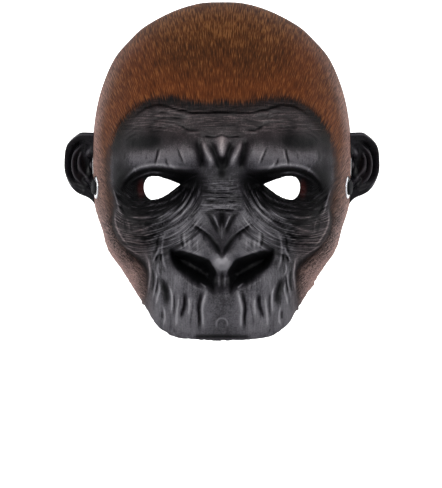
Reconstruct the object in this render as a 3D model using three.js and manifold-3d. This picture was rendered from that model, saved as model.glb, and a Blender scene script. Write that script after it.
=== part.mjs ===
// A moulded gorilla mask that covers the wearer from the crown to the upper lip: one hollow latex shell with
// eye holes, two ears set on its sides, and an elastic strap held at each temple by a metal eyelet.
// Millimetres, +Z up, the face looks along -Y, +X is at the right of someone who looks at the face.
// The origin is in the middle of the head, on the line between the two eyelets.
import * as THREE from "three";
import { mergeVertices } from "three/addons/utils/BufferGeometryUtils.js";
import Module from "manifold-3d";

// Overall sizes of the shell.
const CROWN_RISE = 140.6; // eyelet line up to the top of the crown
const LIP_DROP = 114; // eyelet line down to the lip's cut edge
const HALF_WIDTH = 98.4; // middle plane to the side of the head, without the ears
const FACE_REACH = 104; // eyelet line forward to the plain face, before brow, nose and muzzle
const CROWN_BACK = 12; // eyelet line back to the rim over the head
const LIP_REACH = 112; // eyelet line forward to the lip's cut edge
const WALL = 2.2; // latex wall
const RELIEF = 16; // how far the strongest forms stand out of the plain face

// Eye holes.
const EYE_WIDE = 27.2;
const EYE_HIGH = 17.4;
const EYE_ACROSS = 44.5; // middle plane to the middle of a hole
const EYE_UP = -0.5; // above the eyelet line
const EYE_TILT = 8; // degrees by which a hole's inner corner is higher

// Ears.
const EAR_REACH = 28; // root to outer edge
const EAR_HALF_HIGH = 28.5;
const EAR_MIDDLE_UP = 14; // above the eyelet line
const EAR_SWING = 33; // degrees that the ear sweeps back from straight out
const EAR_THICK = 5;
const EAR_ROOT_BACK = -3; // where the ear's root meets the side wall, measured backwards
const EAR_BOWL = 8; // depth from the ear's rolled edge to the bottom of its bowl

// Eyelets and strap.
const EYELET_BACK = -17; // measured backwards from the eyelet line
const FLANGE_RADIUS = 8.7; // outside the wall
const ROLLED_RADIUS = 7.6; // inside the wall
const FLANGE_THICK = 1.1;
const BORE_RADIUS = 4.6;
const BARREL_WALL = 1;
const STRAP_WIDE = 12;
const STRAP_THICK = 1.6;
const STRAP_BACK = 96; // eyelet line back to the strap behind the head
const STRAP_RISE = 40; // how much higher the strap lies behind the head
const STRAP_HALF_SPREAD = 80; // half the width of the head inside the strap
const KNOT_RADIUS = 5.8;
const KNOT_HIGH = 2.4;

// Clearances.
const SEAT_GAP = 0.3; // between pieces that rest on each other
const CURVE_GAP = 0.35; // what the inside of the wall curves in by under a flange
const BORE_GAP = 0.4; // round a barrel or a plug in its hole

// How finely the shapes are cut.
const SHELL_CELLS = 46;
const CENTRE_CROWDING = 1.2; // 1 for cells that are even towards the pole, more for finer cells there
const EYE_SIDES = 26;
const ROUND_SIDES = 16;
const STRAP_STEPS = 22;

const FACE_HEIGHT = CROWN_RISE + LIP_DROP;
const BAND_DEPTH = WALL + 2 * SEAT_GAP + CURVE_GAP + FLANGE_THICK; // outer surface to the strap inside it
const POLE_UP = -0.09 * FACE_HEIGHT; // the shell's grid is centred on the bridge of the nose
const RADIANS = Math.PI / 180;

// The shell's cut rim, from the crown down one side to the lip.
// up: share of the crown rise above the eyelets or of the lip drop below them; wide: share of the half width;
// forward: 0 at the back rim and 1 at the lip.
const RIM = [
  { up: 1.0, wide: 0.0, forward: 0 },
  { up: 0.992, wide: 0.182, forward: 0 },
  { up: 0.949, wide: 0.382, forward: 0 },
  { up: 0.873, wide: 0.587, forward: 0 },
  { up: 0.797, wide: 0.71, forward: 0 },
  { up: 0.689, wide: 0.838, forward: 0 },
  { up: 0.527, wide: 0.935, forward: 0 },
  { up: 0.365, wide: 0.985, forward: 0 },
  { up: 0.2, wide: 1.0, forward: 0 },
  { up: 0.0, wide: 0.995, forward: 0 },
  { up: -0.123, wide: 0.984, forward: 0.03 },
  { up: -0.283, wide: 0.922, forward: 0.2 },
  { up: -0.416, wide: 0.871, forward: 0.34 },
  { up: -0.546, wide: 0.764, forward: 0.48 },
  { up: -0.677, wide: 0.663, forward: 0.62 },
  { up: -0.805, wide: 0.565, forward: 0.76 },
  { up: -0.895, wide: 0.499, forward: 0.85 },
  { up: -0.946, wide: 0.423, forward: 0.91 },
  { up: -0.983, wide: 0.322, forward: 0.96 },
  { up: -1.0, wide: 0.0, forward: 1 },
];

// Rounded forms on the face. across and wide: shares of the half width; up and high: shares of the face height;
// lift: share of the relief; turn: degrees; flat: 2 for a soft hill, more for a flat top and steep sides.
const FORMS = [
  { name: "forehead", across: 0, up: 0.213, wide: 0.711, high: 0.075, lift: 0.19, turn: 0, flat: 2.5 },
  { name: "brow outer", across: 0.524, up: 0.103, wide: 0.314, high: 0.061, lift: 0.75, turn: -4, flat: 3 },
  { name: "brow inner", across: 0.239, up: 0.095, wide: 0.165, high: 0.058, lift: 0.5, turn: 0, flat: 3 },
  { name: "brow end", across: 0.74, up: 0.045, wide: 0.112, high: 0.075, lift: 0.5, turn: 12, flat: 2.6 },
  { name: "glabella", across: 0, up: 0.103, wide: 0.15, high: 0.058, lift: 0.44, turn: 0, flat: 3 },
  { name: "socket", across: 0.479, up: -0.007, wide: 0.314, high: 0.058, lift: -1, turn: 6, flat: 5 },
  { name: "inner corner", across: 0.224, up: 0.011, wide: 0.127, high: 0.038, lift: -0.5, turn: -20, flat: 2.4 },
  { name: "bridge", across: 0, up: -0.012, wide: 0.112, high: 0.075, lift: 0.25, turn: 0, flat: 2.6 },
  { name: "cheek bone", across: 0.688, up: -0.116, wide: 0.165, high: 0.087, lift: 0.56, turn: -14, flat: 2.6 },
  { name: "under eye", across: 0.389, up: -0.082, wide: 0.254, high: 0.035, lift: 0.25, turn: 12, flat: 2.4 },
  { name: "muzzle", across: 0, up: -0.281, wide: 0.539, high: 0.162, lift: 1.31, turn: 0, flat: 3 },
  { name: "nose lobe", across: 0.127, up: -0.102, wide: 0.15, high: 0.049, lift: 0.6, turn: 20, flat: 2.2 },
  { name: "nose wing", across: 0.239, up: -0.171, wide: 0.194, high: 0.05, lift: 0.62, turn: -26, flat: 2.4 },
  { name: "nose tip", across: 0, up: -0.223, wide: 0.12, high: 0.045, lift: 0.6, turn: 0, flat: 2.2 },
  { name: "nostril", across: 0.235, up: -0.232, wide: 0.17, high: 0.045, lift: -0.95, turn: -36, flat: 2.4 },
  { name: "nostril lower", across: 0.11, up: -0.278, wide: 0.09, high: 0.045, lift: -0.45, turn: 0, flat: 2 },
  { name: "lip side", across: 0.449, up: -0.307, wide: 0.12, high: 0.104, lift: 0.25, turn: 0, flat: 2.5 },
];

// Ridges and folds that follow a line on the face. path: [across, up] pairs in the same shares.
const FOLDS = [
  { name: "root groove", wide: 0.055, lift: -0.25, path: [[0.15, 0.132], [0.165, 0.034]] },
  { name: "root groove 2", wide: 0.045, lift: -0.1, path: [[0.06, 0.126], [0.03, 0.04]] },
  { name: "brow edge", wide: 0.045, lift: 0.2,
    path: [[0.165, 0.057], [0.344, 0.048], [0.509, 0.057], [0.658, 0.043], [0.763, 0.008]] },
  { name: "nose wedge", wide: 0.05, lift: -0.12, path: [[0.097, -0.076], [0.022, -0.134]] },
  { name: "nose fold", wide: 0.055, lift: -0.3,
    path: [[0.254, -0.102], [0.15, -0.131], [0.075, -0.157], [0.007, -0.186]] },
  { name: "muzzle fold", wide: 0.045, lift: -0.31,
    path: [[0.374, -0.116], [0.479, -0.163], [0.539, -0.221], [0.553, -0.301]] },
  { name: "jaw groove", wide: 0.06, lift: -0.38,
    path: [[0.815, -0.012], [0.793, -0.076], [0.763, -0.122], [0.688, -0.18], [0.598, -0.221], [0.568, -0.273], [0.576, -0.342]] },
  { name: "lip groove", wide: 0.055, lift: -0.25,
    path: [[0.142, -0.301], [0.15, -0.365], [0.165, -0.434]] },
  { name: "lip slit", wide: 0.05, lift: -0.3, path: [[0.292, -0.307], [0.284, -0.348], [0.284, -0.394]] },
  { name: "side slit", wide: 0.055, lift: -0.22, path: [[0.419, -0.221], [0.434, -0.301], [0.419, -0.394]] },
];

function toMillimetres([across, up]) {
  return [across * HALF_WIDTH, up * FACE_HEIGHT];
}

const HILLS = FORMS.map(({ across, up, wide, high, lift, turn, flat }) => ({
  centre: toMillimetres([across, up]),
  radii: toMillimetres([wide, high]),
  cos: Math.cos(turn * RADIANS),
  sin: Math.sin(turn * RADIANS),
  height: lift * RELIEF,
  flat,
}));
const LINES = FOLDS.map(({ wide, lift, path }) => ({
  width: wide * HALF_WIDTH,
  height: lift * RELIEF,
  points: path.map(toMillimetres),
}));

function distanceToPath(points, x, z) {
  let nearest = Infinity;
  for (let i = 1; i < points.length; i++) {
    const [ax, az] = points[i - 1];
    const [bx, bz] = points[i];
    const length2 = (bx - ax) ** 2 + (bz - az) ** 2;
    const along = THREE.MathUtils.clamp(((x - ax) * (bx - ax) + (z - az) * (bz - az)) / length2, 0, 1);
    nearest = Math.min(nearest, Math.hypot(x - ax - along * (bx - ax), z - az - along * (bz - az)));
  }
  return nearest;
}

// The rim as a smooth curve in space, sampled down one side, each sample with its direction from the pole.
function rimCurve() {
  const points = RIM.map(({ up, wide, forward }) => new THREE.Vector3(
    wide * HALF_WIDTH,
    CROWN_BACK * (1 - forward) - LIP_REACH * forward,
    up * (up > 0 ? CROWN_RISE : LIP_DROP),
  ));
  const before = points[1].clone().setX(-points[1].x);
  const after = points.at(-2).clone().setX(-points.at(-2).x);
  const curve = new THREE.CatmullRomCurve3([before, ...points, after], false, "catmullrom", 0.5);
  const samples = curve.getPoints(600).filter((p) => p.x >= 0);
  return samples.map((p) => ({ angle: Math.atan2(p.x, p.z - POLE_UP), point: p }));
}
const RIM_SAMPLES = rimCurve();

function rimTowards(angle) {
  let low = 0;
  let high = RIM_SAMPLES.length - 1;
  while (high - low > 1) {
    const middle = (low + high) >> 1;
    if (RIM_SAMPLES[middle].angle < angle) low = middle;
    else high = middle;
  }
  const a = RIM_SAMPLES[low];
  const b = RIM_SAMPLES[high];
  const share = THREE.MathUtils.clamp((angle - a.angle) / (b.angle - a.angle), 0, 1);
  return a.point.clone().lerp(b.point, share);
}

// How far the face's forms stand forward of the plain shell at (x, z). Both sides are alike.
function relief(x, z) {
  const side = Math.abs(x);
  let forward = 0;
  for (const { centre, radii, cos, sin, height, flat } of HILLS) {
    const right = side - centre[0];
    const over = z - centre[1];
    const away = Math.hypot((right * cos - over * sin) / radii[0], (right * sin + over * cos) / radii[1]);
    forward += height * Math.exp(-(away ** flat));
  }
  for (const { width, height, points } of LINES) {
    const away = distanceToPath(points, side, z) / width;
    forward += height * Math.exp(-away * away);
  }
  return forward;
}

// The shell's outer surface over (x, z): from the rim it climbs steeply and flattens towards the pole.
function outerPoint(x, z) {
  const rim = rimTowards(Math.atan2(Math.abs(x), z - POLE_UP));
  const share = Math.min(1, Math.hypot(x, z - POLE_UP) / Math.hypot(rim.x, rim.z - POLE_UP));
  const climb = (1 - share ** 2.5) ** 0.55;
  const y = rim.y - (FACE_REACH + rim.y) * climb - relief(x, z) * (1 - share ** 12);
  return new THREE.Vector3(x, y, z);
}

// The surface at "depth" under the outer one: behind every outer point by at least that distance. A negative
// depth gives a surface in front of it.
function offsetPoint(x, z, depth) {
  const reach = 1.1 * Math.abs(depth);
  const inset = 1 - depth / Math.hypot(x, z - POLE_UP, 1);
  const [cx, cz] = [x * inset, POLE_UP + (z - POLE_UP) * inset];
  const side = Math.sign(depth);
  let y = side * outerPoint(cx, cz).y + Math.abs(depth);
  for (const [share, rise] of [[0.65, 0.72], [1, 0]]) {
    for (let k = 0; k < 14; k++) {
      const turn = (2 * Math.PI * k) / 14;
      const near = outerPoint(cx + reach * share * Math.sin(turn), cz + reach * share * Math.cos(turn));
      y = Math.max(y, side * near.y + rise * Math.abs(depth));
    }
  }
  return new THREE.Vector3(cx, side * y, cz);
}

// A square grid mapped onto the outline: finer on the face, and even along the steep sides.
function gridPlace(column, row) {
  const s = (2 * column) / SHELL_CELLS - 1;
  const t = (2 * row) / SHELL_CELLS - 1;
  const u = s * Math.sqrt(1 - (t * t) / 2);
  const v = t * Math.sqrt(1 - (s * s) / 2);
  const rim = rimTowards(Math.atan2(Math.abs(u), v));
  const share = Math.sin((Math.PI / 2) * Math.min(1, Math.hypot(u, v)) ** CENTRE_CROWDING);
  return { x: Math.sign(u) * rim.x * share, z: POLE_UP + (rim.z - POLE_UP) * share };
}

// Solid geometry from rows of points and triangles.
function geometryOf(points, triangles) {
  const positions = new Float32Array(points.flatMap((p) => [p.x, p.y, p.z]));
  const geometry = new THREE.BufferGeometry();
  geometry.setAttribute("position", new THREE.BufferAttribute(positions, 3));
  geometry.setIndex(triangles);
  return geometry;
}

// A solid between two surfaces over the same grid; each is a function that gives the point for (x, z).
function gridSolid(front, back) {
  const side = SHELL_CELLS + 1;
  const count = side * side;
  const points = [];
  for (const surface of [front, back]) {
    for (let i = 0; i < count; i++) {
      const { x, z } = gridPlace(i % side, Math.floor(i / side));
      points.push(surface(x, z));
    }
  }
  const triangles = [];
  for (let row = 0; row < SHELL_CELLS; row++) {
    for (let column = 0; column < SHELL_CELLS; column++) {
      const a = row * side + column;
      const [b, c, d] = [a + 1, a + side + 1, a + side];
      const short = points[a].distanceTo(points[c]) < points[b].distanceTo(points[d]);
      const quad = short ? [a, b, c, a, c, d] : [a, b, d, b, c, d];
      triangles.push(...quad, ...quad.map((i) => i + count).reverse());
    }
  }
  const edge = [];
  for (let k = 0; k < SHELL_CELLS; k++) edge.push(k);
  for (let k = 0; k < SHELL_CELLS; k++) edge.push(k * side + SHELL_CELLS);
  for (let k = SHELL_CELLS; k > 0; k--) edge.push(SHELL_CELLS * side + k);
  for (let k = SHELL_CELLS; k > 0; k--) edge.push(k * side);
  edge.forEach((a, i) => {
    const b = edge[(i + 1) % edge.length];
    triangles.push(a, count + b, b, a, count + a, count + b);
  });
  return geometryOf(points, triangles);
}

const wasm = await Module();
wasm.setup();

function solidOf(geometry) {
  const bare = geometry.index ? geometry.toNonIndexed() : geometry.clone();
  bare.deleteAttribute("normal");
  bare.deleteAttribute("uv");
  const merged = mergeVertices(bare, 1e-4);
  return new wasm.Manifold(new wasm.Mesh({
    numProp: 3,
    vertProperties: merged.attributes.position.array,
    triVerts: new Uint32Array(merged.index.array),
  }));
}

function geometryFrom(solid) {
  const mesh = solid.getMesh();
  const geometry = new THREE.BufferGeometry();
  geometry.setAttribute("position", new THREE.BufferAttribute(new Float32Array(mesh.vertProperties), 3));
  geometry.setIndex(new THREE.BufferAttribute(new Uint32Array(mesh.triVerts), 1));
  geometry.computeVertexNormals();
  return geometry;
}

// A hole's outline: pointed at the inner corner and round at the outer end.
function eyeCutter(hand) {
  const shape = new THREE.Shape();
  const half = (share) => share ** 0.95 * Math.sqrt(1 - share ** 3.2) * 1.695 * (EYE_HIGH / 2);
  const outline = [];
  for (let i = 0; i < EYE_SIDES; i++) {
    const turn = (2 * Math.PI * i) / EYE_SIDES;
    const share = (1 - Math.cos(turn)) / 2;
    outline.push([(share - 0.5) * EYE_WIDE, Math.sign(Math.sin(turn)) * half(share)]);
  }
  outline.forEach(([x, z], i) => (i ? shape.lineTo(x, z) : shape.moveTo(x, z)));
  const geometry = new THREE.ExtrudeGeometry(shape, { depth: 2 * FACE_REACH, bevelEnabled: false });
  geometry.rotateX(Math.PI / 2);
  geometry.rotateY(EYE_TILT * RADIANS);
  geometry.translate(EYE_ACROSS, 0, EYE_UP);
  return hand > 0 ? solidOf(geometry) : solidOf(geometry).mirror([1, 0, 0]);
}

// The side wall's place and outward direction where it is "back" behind the eyelet line, at height z.
function sideSeat(back, z) {
  let near = 0.5 * HALF_WIDTH;
  let far = rimTowards(Math.atan2(HALF_WIDTH, z - POLE_UP)).x;
  for (let i = 0; i < 40; i++) {
    const middle = (near + far) / 2;
    if (outerPoint(middle, z).y < back) near = middle;
    else far = middle;
  }
  const step = 1.5;
  const point = outerPoint(near, z);
  const forward = outerPoint(near - step, z).sub(point);
  const upward = outerPoint(near, z + step).sub(outerPoint(near, z - step));
  const normal = forward.cross(upward).normalize();
  if (normal.x < 0) normal.negate();
  return { point, normal };
}

// Turns a piece whose axis is +Y so that its axis follows the seat's outward direction.
function stand(geometry, { point, normal }) {
  const turn = new THREE.Quaternion().setFromUnitVectors(new THREE.Vector3(0, 1, 0), normal);
  return geometry.applyQuaternion(turn).translate(point.x, point.y, point.z);
}

function shellHole(seat) {
  const radius = BORE_RADIUS + BARREL_WALL + BORE_GAP;
  return stand(new THREE.CylinderGeometry(radius, radius, 12 * WALL, ROUND_SIDES), seat);
}

// A flanged ring that clamps the wall from both sides.
function eyeletGeometry(seat) {
  const outer = SEAT_GAP;
  const inner = -WALL - SEAT_GAP - CURVE_GAP;
  const barrel = BORE_RADIUS + BARREL_WALL;
  const profile = [
    [BORE_RADIUS, inner - FLANGE_THICK * 0.6],
    [BORE_RADIUS + BARREL_WALL, inner - FLANGE_THICK],
    [ROLLED_RADIUS, inner - FLANGE_THICK * 0.5],
    [ROLLED_RADIUS, inner],
    [barrel, inner],
    [barrel, outer],
    [FLANGE_RADIUS, outer],
    [FLANGE_RADIUS, outer + FLANGE_THICK * 0.5],
    [BORE_RADIUS + BARREL_WALL * 1.6, outer + FLANGE_THICK],
    [BORE_RADIUS, outer + FLANGE_THICK * 0.6],
  ];
  const points = [...profile, profile[0]].map(([r, h]) => new THREE.Vector2(r, h));
  return stand(new THREE.LatheGeometry(points, ROUND_SIDES), seat);
}

// An ear's outline in its own plane, from the top of the root round the outer edge to the end of the lobe, and
// back inside the head, where the wall trims it. out: share of the ear's reach; up: share of half its height.
const EAR_OUTLINE = [
  { out: 0.03, up: 0.97 },
  { out: 0.24, up: 0.99 },
  { out: 0.45, up: 0.99 },
  { out: 0.61, up: 0.92 },
  { out: 0.78, up: 0.81 },
  { out: 0.91, up: 0.68 },
  { out: 0.97, up: 0.52 },
  { out: 1.0, up: 0.3 },
  { out: 1.0, up: 0.04 },
  { out: 0.96, up: -0.15 },
  { out: 0.84, up: -0.39 },
  { out: 0.65, up: -0.59 },
  { out: 0.45, up: -0.69 },
  { out: 0.26, up: -0.75 },
  { out: 0.1, up: -0.85 },
  { out: -0.03, up: -0.98 },
  { out: -0.13, up: -1.06 },
  { out: -0.22, up: -0.95 },
  { out: -0.25, up: -0.4 },
  { out: -0.25, up: 0.05 },
  { out: -0.25, up: 0.5 },
  { out: -0.16, up: 0.9 },
];
const EAR_BOWL_PLACE = { out: 0.36, up: 0.03 };

// An ear as a dished disc. r: share from the bowl's middle to the edge; high: share of the bowl's depth.
const EAR_PROFILE = [
  { r: 0.0, high: -0.75 },
  { r: 0.3, high: -0.8 },
  { r: 0.48, high: -0.35 },
  { r: 0.6, high: 0.08 },
  { r: 0.74, high: -0.18 },
  { r: 0.9, high: 0.3 },
  { r: 1.0, high: 0.05 },
];
const EAR_BACK = [
  { r: 0.93, under: 0.7 },
  { r: 0.6, under: 1.0 },
  { r: 0.3, under: 1.25 },
];

function earHeight(r) {
  const next = EAR_PROFILE.findIndex((row) => row.r >= r);
  if (next <= 0) return EAR_PROFILE[0].high * EAR_BOWL;
  const [a, b] = [EAR_PROFILE[next - 1], EAR_PROFILE[next]];
  return THREE.MathUtils.lerp(a.high, b.high, (r - a.r) / (b.r - a.r)) * EAR_BOWL;
}

// A point on an ear, the share r of the way from the bowl's middle to a point of the outline: out along the
// ear's plane, forward of the plane by the height, and up.
function earPoint(r, edge, height) {
  const { out, up } = EAR_BOWL_PLACE;
  return new THREE.Vector3(
    (out + (edge.out - out) * r) * EAR_REACH,
    -height,
    (up + (edge.up - up) * r) * EAR_HALF_HIGH,
  );
}

function earBlank(seat) {
  const points = [];
  const rings = [];
  const ring = (r, height) => {
    rings.push(points.length);
    EAR_OUTLINE.forEach((edge) => points.push(earPoint(r, edge, height)));
  };
  const front = EAR_PROFILE.slice(1).map((row) => row.r);
  front.forEach((r) => ring(r, earHeight(r)));
  EAR_BACK.forEach(({ r, under }) => ring(r, earHeight(r) - under * EAR_THICK));
  const frontMiddle = points.push(earPoint(0, EAR_BOWL_PLACE, earHeight(0))) - 1;
  const backHeight = earHeight(0) - EAR_BACK.at(-1).under * EAR_THICK;
  const backMiddle = points.push(earPoint(0, EAR_BOWL_PLACE, backHeight)) - 1;
  const rays = EAR_OUTLINE.length;
  const triangles = [];
  for (let k = 0; k < rays; k++) {
    const next = (k + 1) % rays;
    triangles.push(frontMiddle, rings[0] + next, rings[0] + k);
    for (let i = 1; i < rings.length; i++) {
      const [a, b] = [rings[i - 1], rings[i]];
      triangles.push(a + k, b + next, b + k, a + k, a + next, b + next);
    }
    triangles.push(backMiddle, rings.at(-1) + k, rings.at(-1) + next);
  }
  const geometry = geometryOf(points, triangles);
  geometry.rotateZ(EAR_SWING * RADIANS);
  return geometry.translate(seat.point.x, seat.point.y, seat.point.z);
}

// The strap: a flat band round the back of the head, and at each end a round plug through the eyelet with a
// low knot outside it.
function strapGeometry(seat) {
  const inside = seat.normal.clone().multiplyScalar(-(BAND_DEPTH + STRAP_THICK / 2));
  const end = seat.point.clone().add(inside);
  const side = [
    end,
    new THREE.Vector3(end.x - 0.02 * STRAP_HALF_SPREAD, CROWN_BACK, 0.12 * STRAP_RISE),
    new THREE.Vector3(STRAP_HALF_SPREAD, 0.48 * STRAP_BACK, 0.42 * STRAP_RISE),
    new THREE.Vector3(0.68 * STRAP_HALF_SPREAD, 0.85 * STRAP_BACK, 0.84 * STRAP_RISE),
    new THREE.Vector3(0, STRAP_BACK, STRAP_RISE),
  ];
  const other = side.slice(0, -1).reverse().map((p) => p.clone().setX(-p.x));
  const curve = new THREE.CatmullRomCurve3([...side, ...other], false, "centripetal");
  const points = [];
  for (let i = 0; i <= STRAP_STEPS; i++) {
    const along = curve.getTangentAt(i / STRAP_STEPS);
    const centre = curve.getPointAt(i / STRAP_STEPS);
    const outward = new THREE.Vector3(0, 0, 1).cross(along).normalize();
    const upward = along.clone().cross(outward).normalize();
    for (const [u, v] of [[-1, -1], [1, -1], [1, 1], [-1, 1]]) {
      points.push(centre.clone()
        .addScaledVector(upward, (u * STRAP_WIDE) / 2)
        .addScaledVector(outward, (v * STRAP_THICK) / 2));
    }
  }
  const triangles = [0, 1, 2, 0, 2, 3];
  for (let i = 0; i < STRAP_STEPS; i++) {
    for (let k = 0; k < 4; k++) {
      const [a, b] = [4 * i + k, 4 * i + ((k + 1) % 4)];
      triangles.push(a, a + 4, b + 4, a, b + 4, b);
    }
  }
  const last = 4 * STRAP_STEPS;
  triangles.push(last, last + 2, last + 1, last, last + 3, last + 2);
  return geometryOf(points, triangles);
}

function plugGeometry(seat) {
  const foot = -(BAND_DEPTH + STRAP_THICK / 2);
  const shoulder = SEAT_GAP + FLANGE_THICK + SEAT_GAP;
  const plug = BORE_RADIUS - BORE_GAP;
  const profile = [
    [0, foot],
    [plug, foot],
    [plug, shoulder],
    [KNOT_RADIUS, shoulder],
    [KNOT_RADIUS * 0.9, shoulder + KNOT_HIGH * 0.6],
    [KNOT_RADIUS * 0.45, shoulder + KNOT_HIGH],
    [0, shoulder + KNOT_HIGH],
  ];
  const points = profile.map(([r, h]) => new THREE.Vector2(r, h));
  return stand(new THREE.LatheGeometry(points, ROUND_SIDES), seat);
}

function piece(name, geometry, color, roughness, metalness) {
  const mesh = new THREE.Mesh(geometry, new THREE.MeshStandardMaterial({ color, roughness, metalness }));
  mesh.name = name;
  return mesh;
}

function mirrored(solid) {
  return solid.mirror([1, 0, 0]);
}

const seat = sideSeat(EYELET_BACK, 0);
const hole = solidOf(shellHole(seat));
const shell = solidOf(gridSolid(outerPoint, (x, z) => offsetPoint(x, z, WALL)))
  .subtract(eyeCutter(1))
  .subtract(eyeCutter(-1))
  .subtract(hole)
  .subtract(mirrored(hole));

// The head's whole volume with the gap round it trims the ear's root.
const headFront = (x, z) => offsetPoint(x, z, -SEAT_GAP);
const headBack = (x, z) => headFront(x, z).setY(2 * EAR_REACH);
const ear = solidOf(earBlank(sideSeat(EAR_ROOT_BACK, EAR_MIDDLE_UP)))
  .subtract(solidOf(gridSolid(headFront, headBack)));
const eyelet = solidOf(eyeletGeometry(seat));
const plug = solidOf(plugGeometry(seat));
const strap = solidOf(strapGeometry(seat)).add(plug).add(mirrored(plug));

const mask = new THREE.Group();
mask.name = "gorilla_mask";
mask.add(
  piece("mask_shell", geometryFrom(shell), 0x2b2a2c, 0.6, 0),
  piece("ear_left", geometryFrom(mirrored(ear)), 0x17161a, 0.45, 0),
  piece("ear_right", geometryFrom(ear), 0x17161a, 0.45, 0),
  piece("eyelet_left", geometryFrom(mirrored(eyelet)), 0xc8c8cc, 0.2, 1),
  piece("eyelet_right", geometryFrom(eyelet), 0xc8c8cc, 0.2, 1),
  piece("head_strap", geometryFrom(strap), 0x101012, 0.9, 0),
);

export default mask;
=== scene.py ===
import math

import bmesh
import bpy
import numpy as np
from bpy.props import FloatProperty, FloatVectorProperty, IntProperty, PointerProperty
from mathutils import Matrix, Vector


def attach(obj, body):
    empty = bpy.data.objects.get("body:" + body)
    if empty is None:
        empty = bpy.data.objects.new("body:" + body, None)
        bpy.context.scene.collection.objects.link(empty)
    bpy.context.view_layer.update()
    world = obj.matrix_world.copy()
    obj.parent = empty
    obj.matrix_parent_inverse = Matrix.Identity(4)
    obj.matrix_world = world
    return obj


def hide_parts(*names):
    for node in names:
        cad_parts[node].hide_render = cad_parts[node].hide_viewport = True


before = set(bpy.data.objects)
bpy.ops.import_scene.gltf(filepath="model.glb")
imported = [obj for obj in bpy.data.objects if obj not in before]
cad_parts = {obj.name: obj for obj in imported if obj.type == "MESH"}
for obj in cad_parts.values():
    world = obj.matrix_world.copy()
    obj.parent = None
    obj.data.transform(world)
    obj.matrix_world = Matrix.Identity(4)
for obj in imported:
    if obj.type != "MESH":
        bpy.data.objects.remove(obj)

bl_info = {
    "name": "Gorilla mask",
    "version": (1, 0, 0),
    "blender": (4, 5, 0),
    "location": "View3D > Sidebar > Mask",
    "description": "Builds the finished surfaces of a moulded latex gorilla mask",
    "category": "Add Mesh",
}

# Tables and functions work in millimetres, in the solids' frame: x to the right, z up, the face along -y.
MM = 0.001
CROWN_RISE, LIP_DROP, HALF_WIDTH = 141.6, 114.0, 98.4
FACE_REACH, CROWN_BACK, LIP_REACH = 104.0, 12.0, 112.0
POLE = -0.09 * (CROWN_RISE + LIP_DROP)  # height of the middle of the shell's grid
FORM_FADE = 14  # the forms fade towards the rim as 1 - r^14
FAN_DROP, FAN_SPREAD = 115.0, 165.0  # how low the hairs' fan has its point, and its millimetres for a radian
EYE_ACROSS, EYE_UP, EYE_TILT = 44.5, -0.5, 8.0
EYE_PEAK = 1.695  # one over the greatest value of t^0.95 * sqrt(1 - t^3.2)
CUT_FRONT, CUT_BACK, BORE_REACH = -160.0, 20.0, 14.0  # how far the cutters of the eye holes and the bores go
EAR_BACK, EAR_ROOT, EAR_MIDDLE, BACK_TONE = -3.0, 96.0, (11.0, 15.0), 0.14
HEAD_BACK = 60.0  # how far back the block goes that cuts the ears off
EYELET_BACK = -17.0
FLANGE_RADIUS, ROLLED_RADIUS, FLANGE_THICK = 8.7, 7.6, 1.1
BORE_RADIUS, BARREL_WALL, BORE_GAP = 4.6, 1.0, 0.4
SEAT_GAP, CURVE_GAP = 0.3, 0.35
STRAP_BACK, STRAP_RISE, STRAP_SPREAD = 96.0, 40.0, 80.0
STRAP_INSET = 2 * SEAT_GAP + CURVE_GAP + FLANGE_THICK + 0.8  # from the wall's inner face to the band's middle
RIB_PITCH, RIB_DEPTH = 1.5, 0.1
KNOT_RADIUS, KNOT_HIGH = 5.8, 2.4
COVE_RADIUS, COVE_BEND, COVE_HIGH = 4600.0, 900.0, 4400.0

# The camera, and the soft lights with their places and targets in metres: name, place, target, size,
# setting of the power, share of it.
CAMERA_PLACE, SENSOR_WIDTH, CAMERA_LENS = (-0.0007, -3.5, -0.0429), 36, 339.7
LIGHTS = [
    ("left_soft", (-1.5, -1.9, 0.75), (0, -0.05, 0), 1.1, "key", 1.0),
    ("right_soft", (1.5, -1.9, 0.75), (0, -0.05, 0), 1.1, "key", 0.9),
    ("top_soft", (0, -0.9, 1.9), (0, -0.03, 0), 1.2, "fill", 1.0),
]
WORLD_GLOW = 0.08

# Tone of the plain face, and how much the grooves, the ridges and the hair's lower fringe change it. The
# grooves' darkening is partly dark paint and partly painted shade.
PLAIN_TONE, GROOVE_TONE, RIDGE_TONE, FRINGE_TONE = 0.35, 0.43, 0.56, 0.34

# Lines drawn thinner than this count with the first share of their width, others with the second. They
# taper over the last share of their length.
THIN_LINE, THIN_SHARE, WIDE_SHARE, TAPER = 1.35, 0.62, 0.85, 0.3
NOISE_CELLS = 256  # after so many units a random field starts again
TRIM_SPREAD = 40.0  # the uneven trim's millimetres for a radian round the rim

# The cut rim from the crown down one side: share of the rise or drop, share of the half width, and 0 at the
# back rim to 1 at the lip.
RIM = [
    (1.0, 0.0, 0.0), (0.992, 0.182, 0.0), (0.949, 0.382, 0.0), (0.873, 0.587, 0.0), (0.797, 0.71, 0.0),
    (0.689, 0.838, 0.0), (0.527, 0.935, 0.0), (0.365, 0.985, 0.0), (0.2, 1.0, 0.0), (0.0, 0.995, 0.0),
    (-0.123, 0.984, 0.03), (-0.283, 0.922, 0.2), (-0.416, 0.871, 0.34), (-0.546, 0.764, 0.48),
    (-0.677, 0.663, 0.62), (-0.805, 0.565, 0.76), (-0.895, 0.499, 0.85), (-0.946, 0.423, 0.91),
    (-0.983, 0.322, 0.96), (-1.0, 0.0, 1.0),
]

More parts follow.
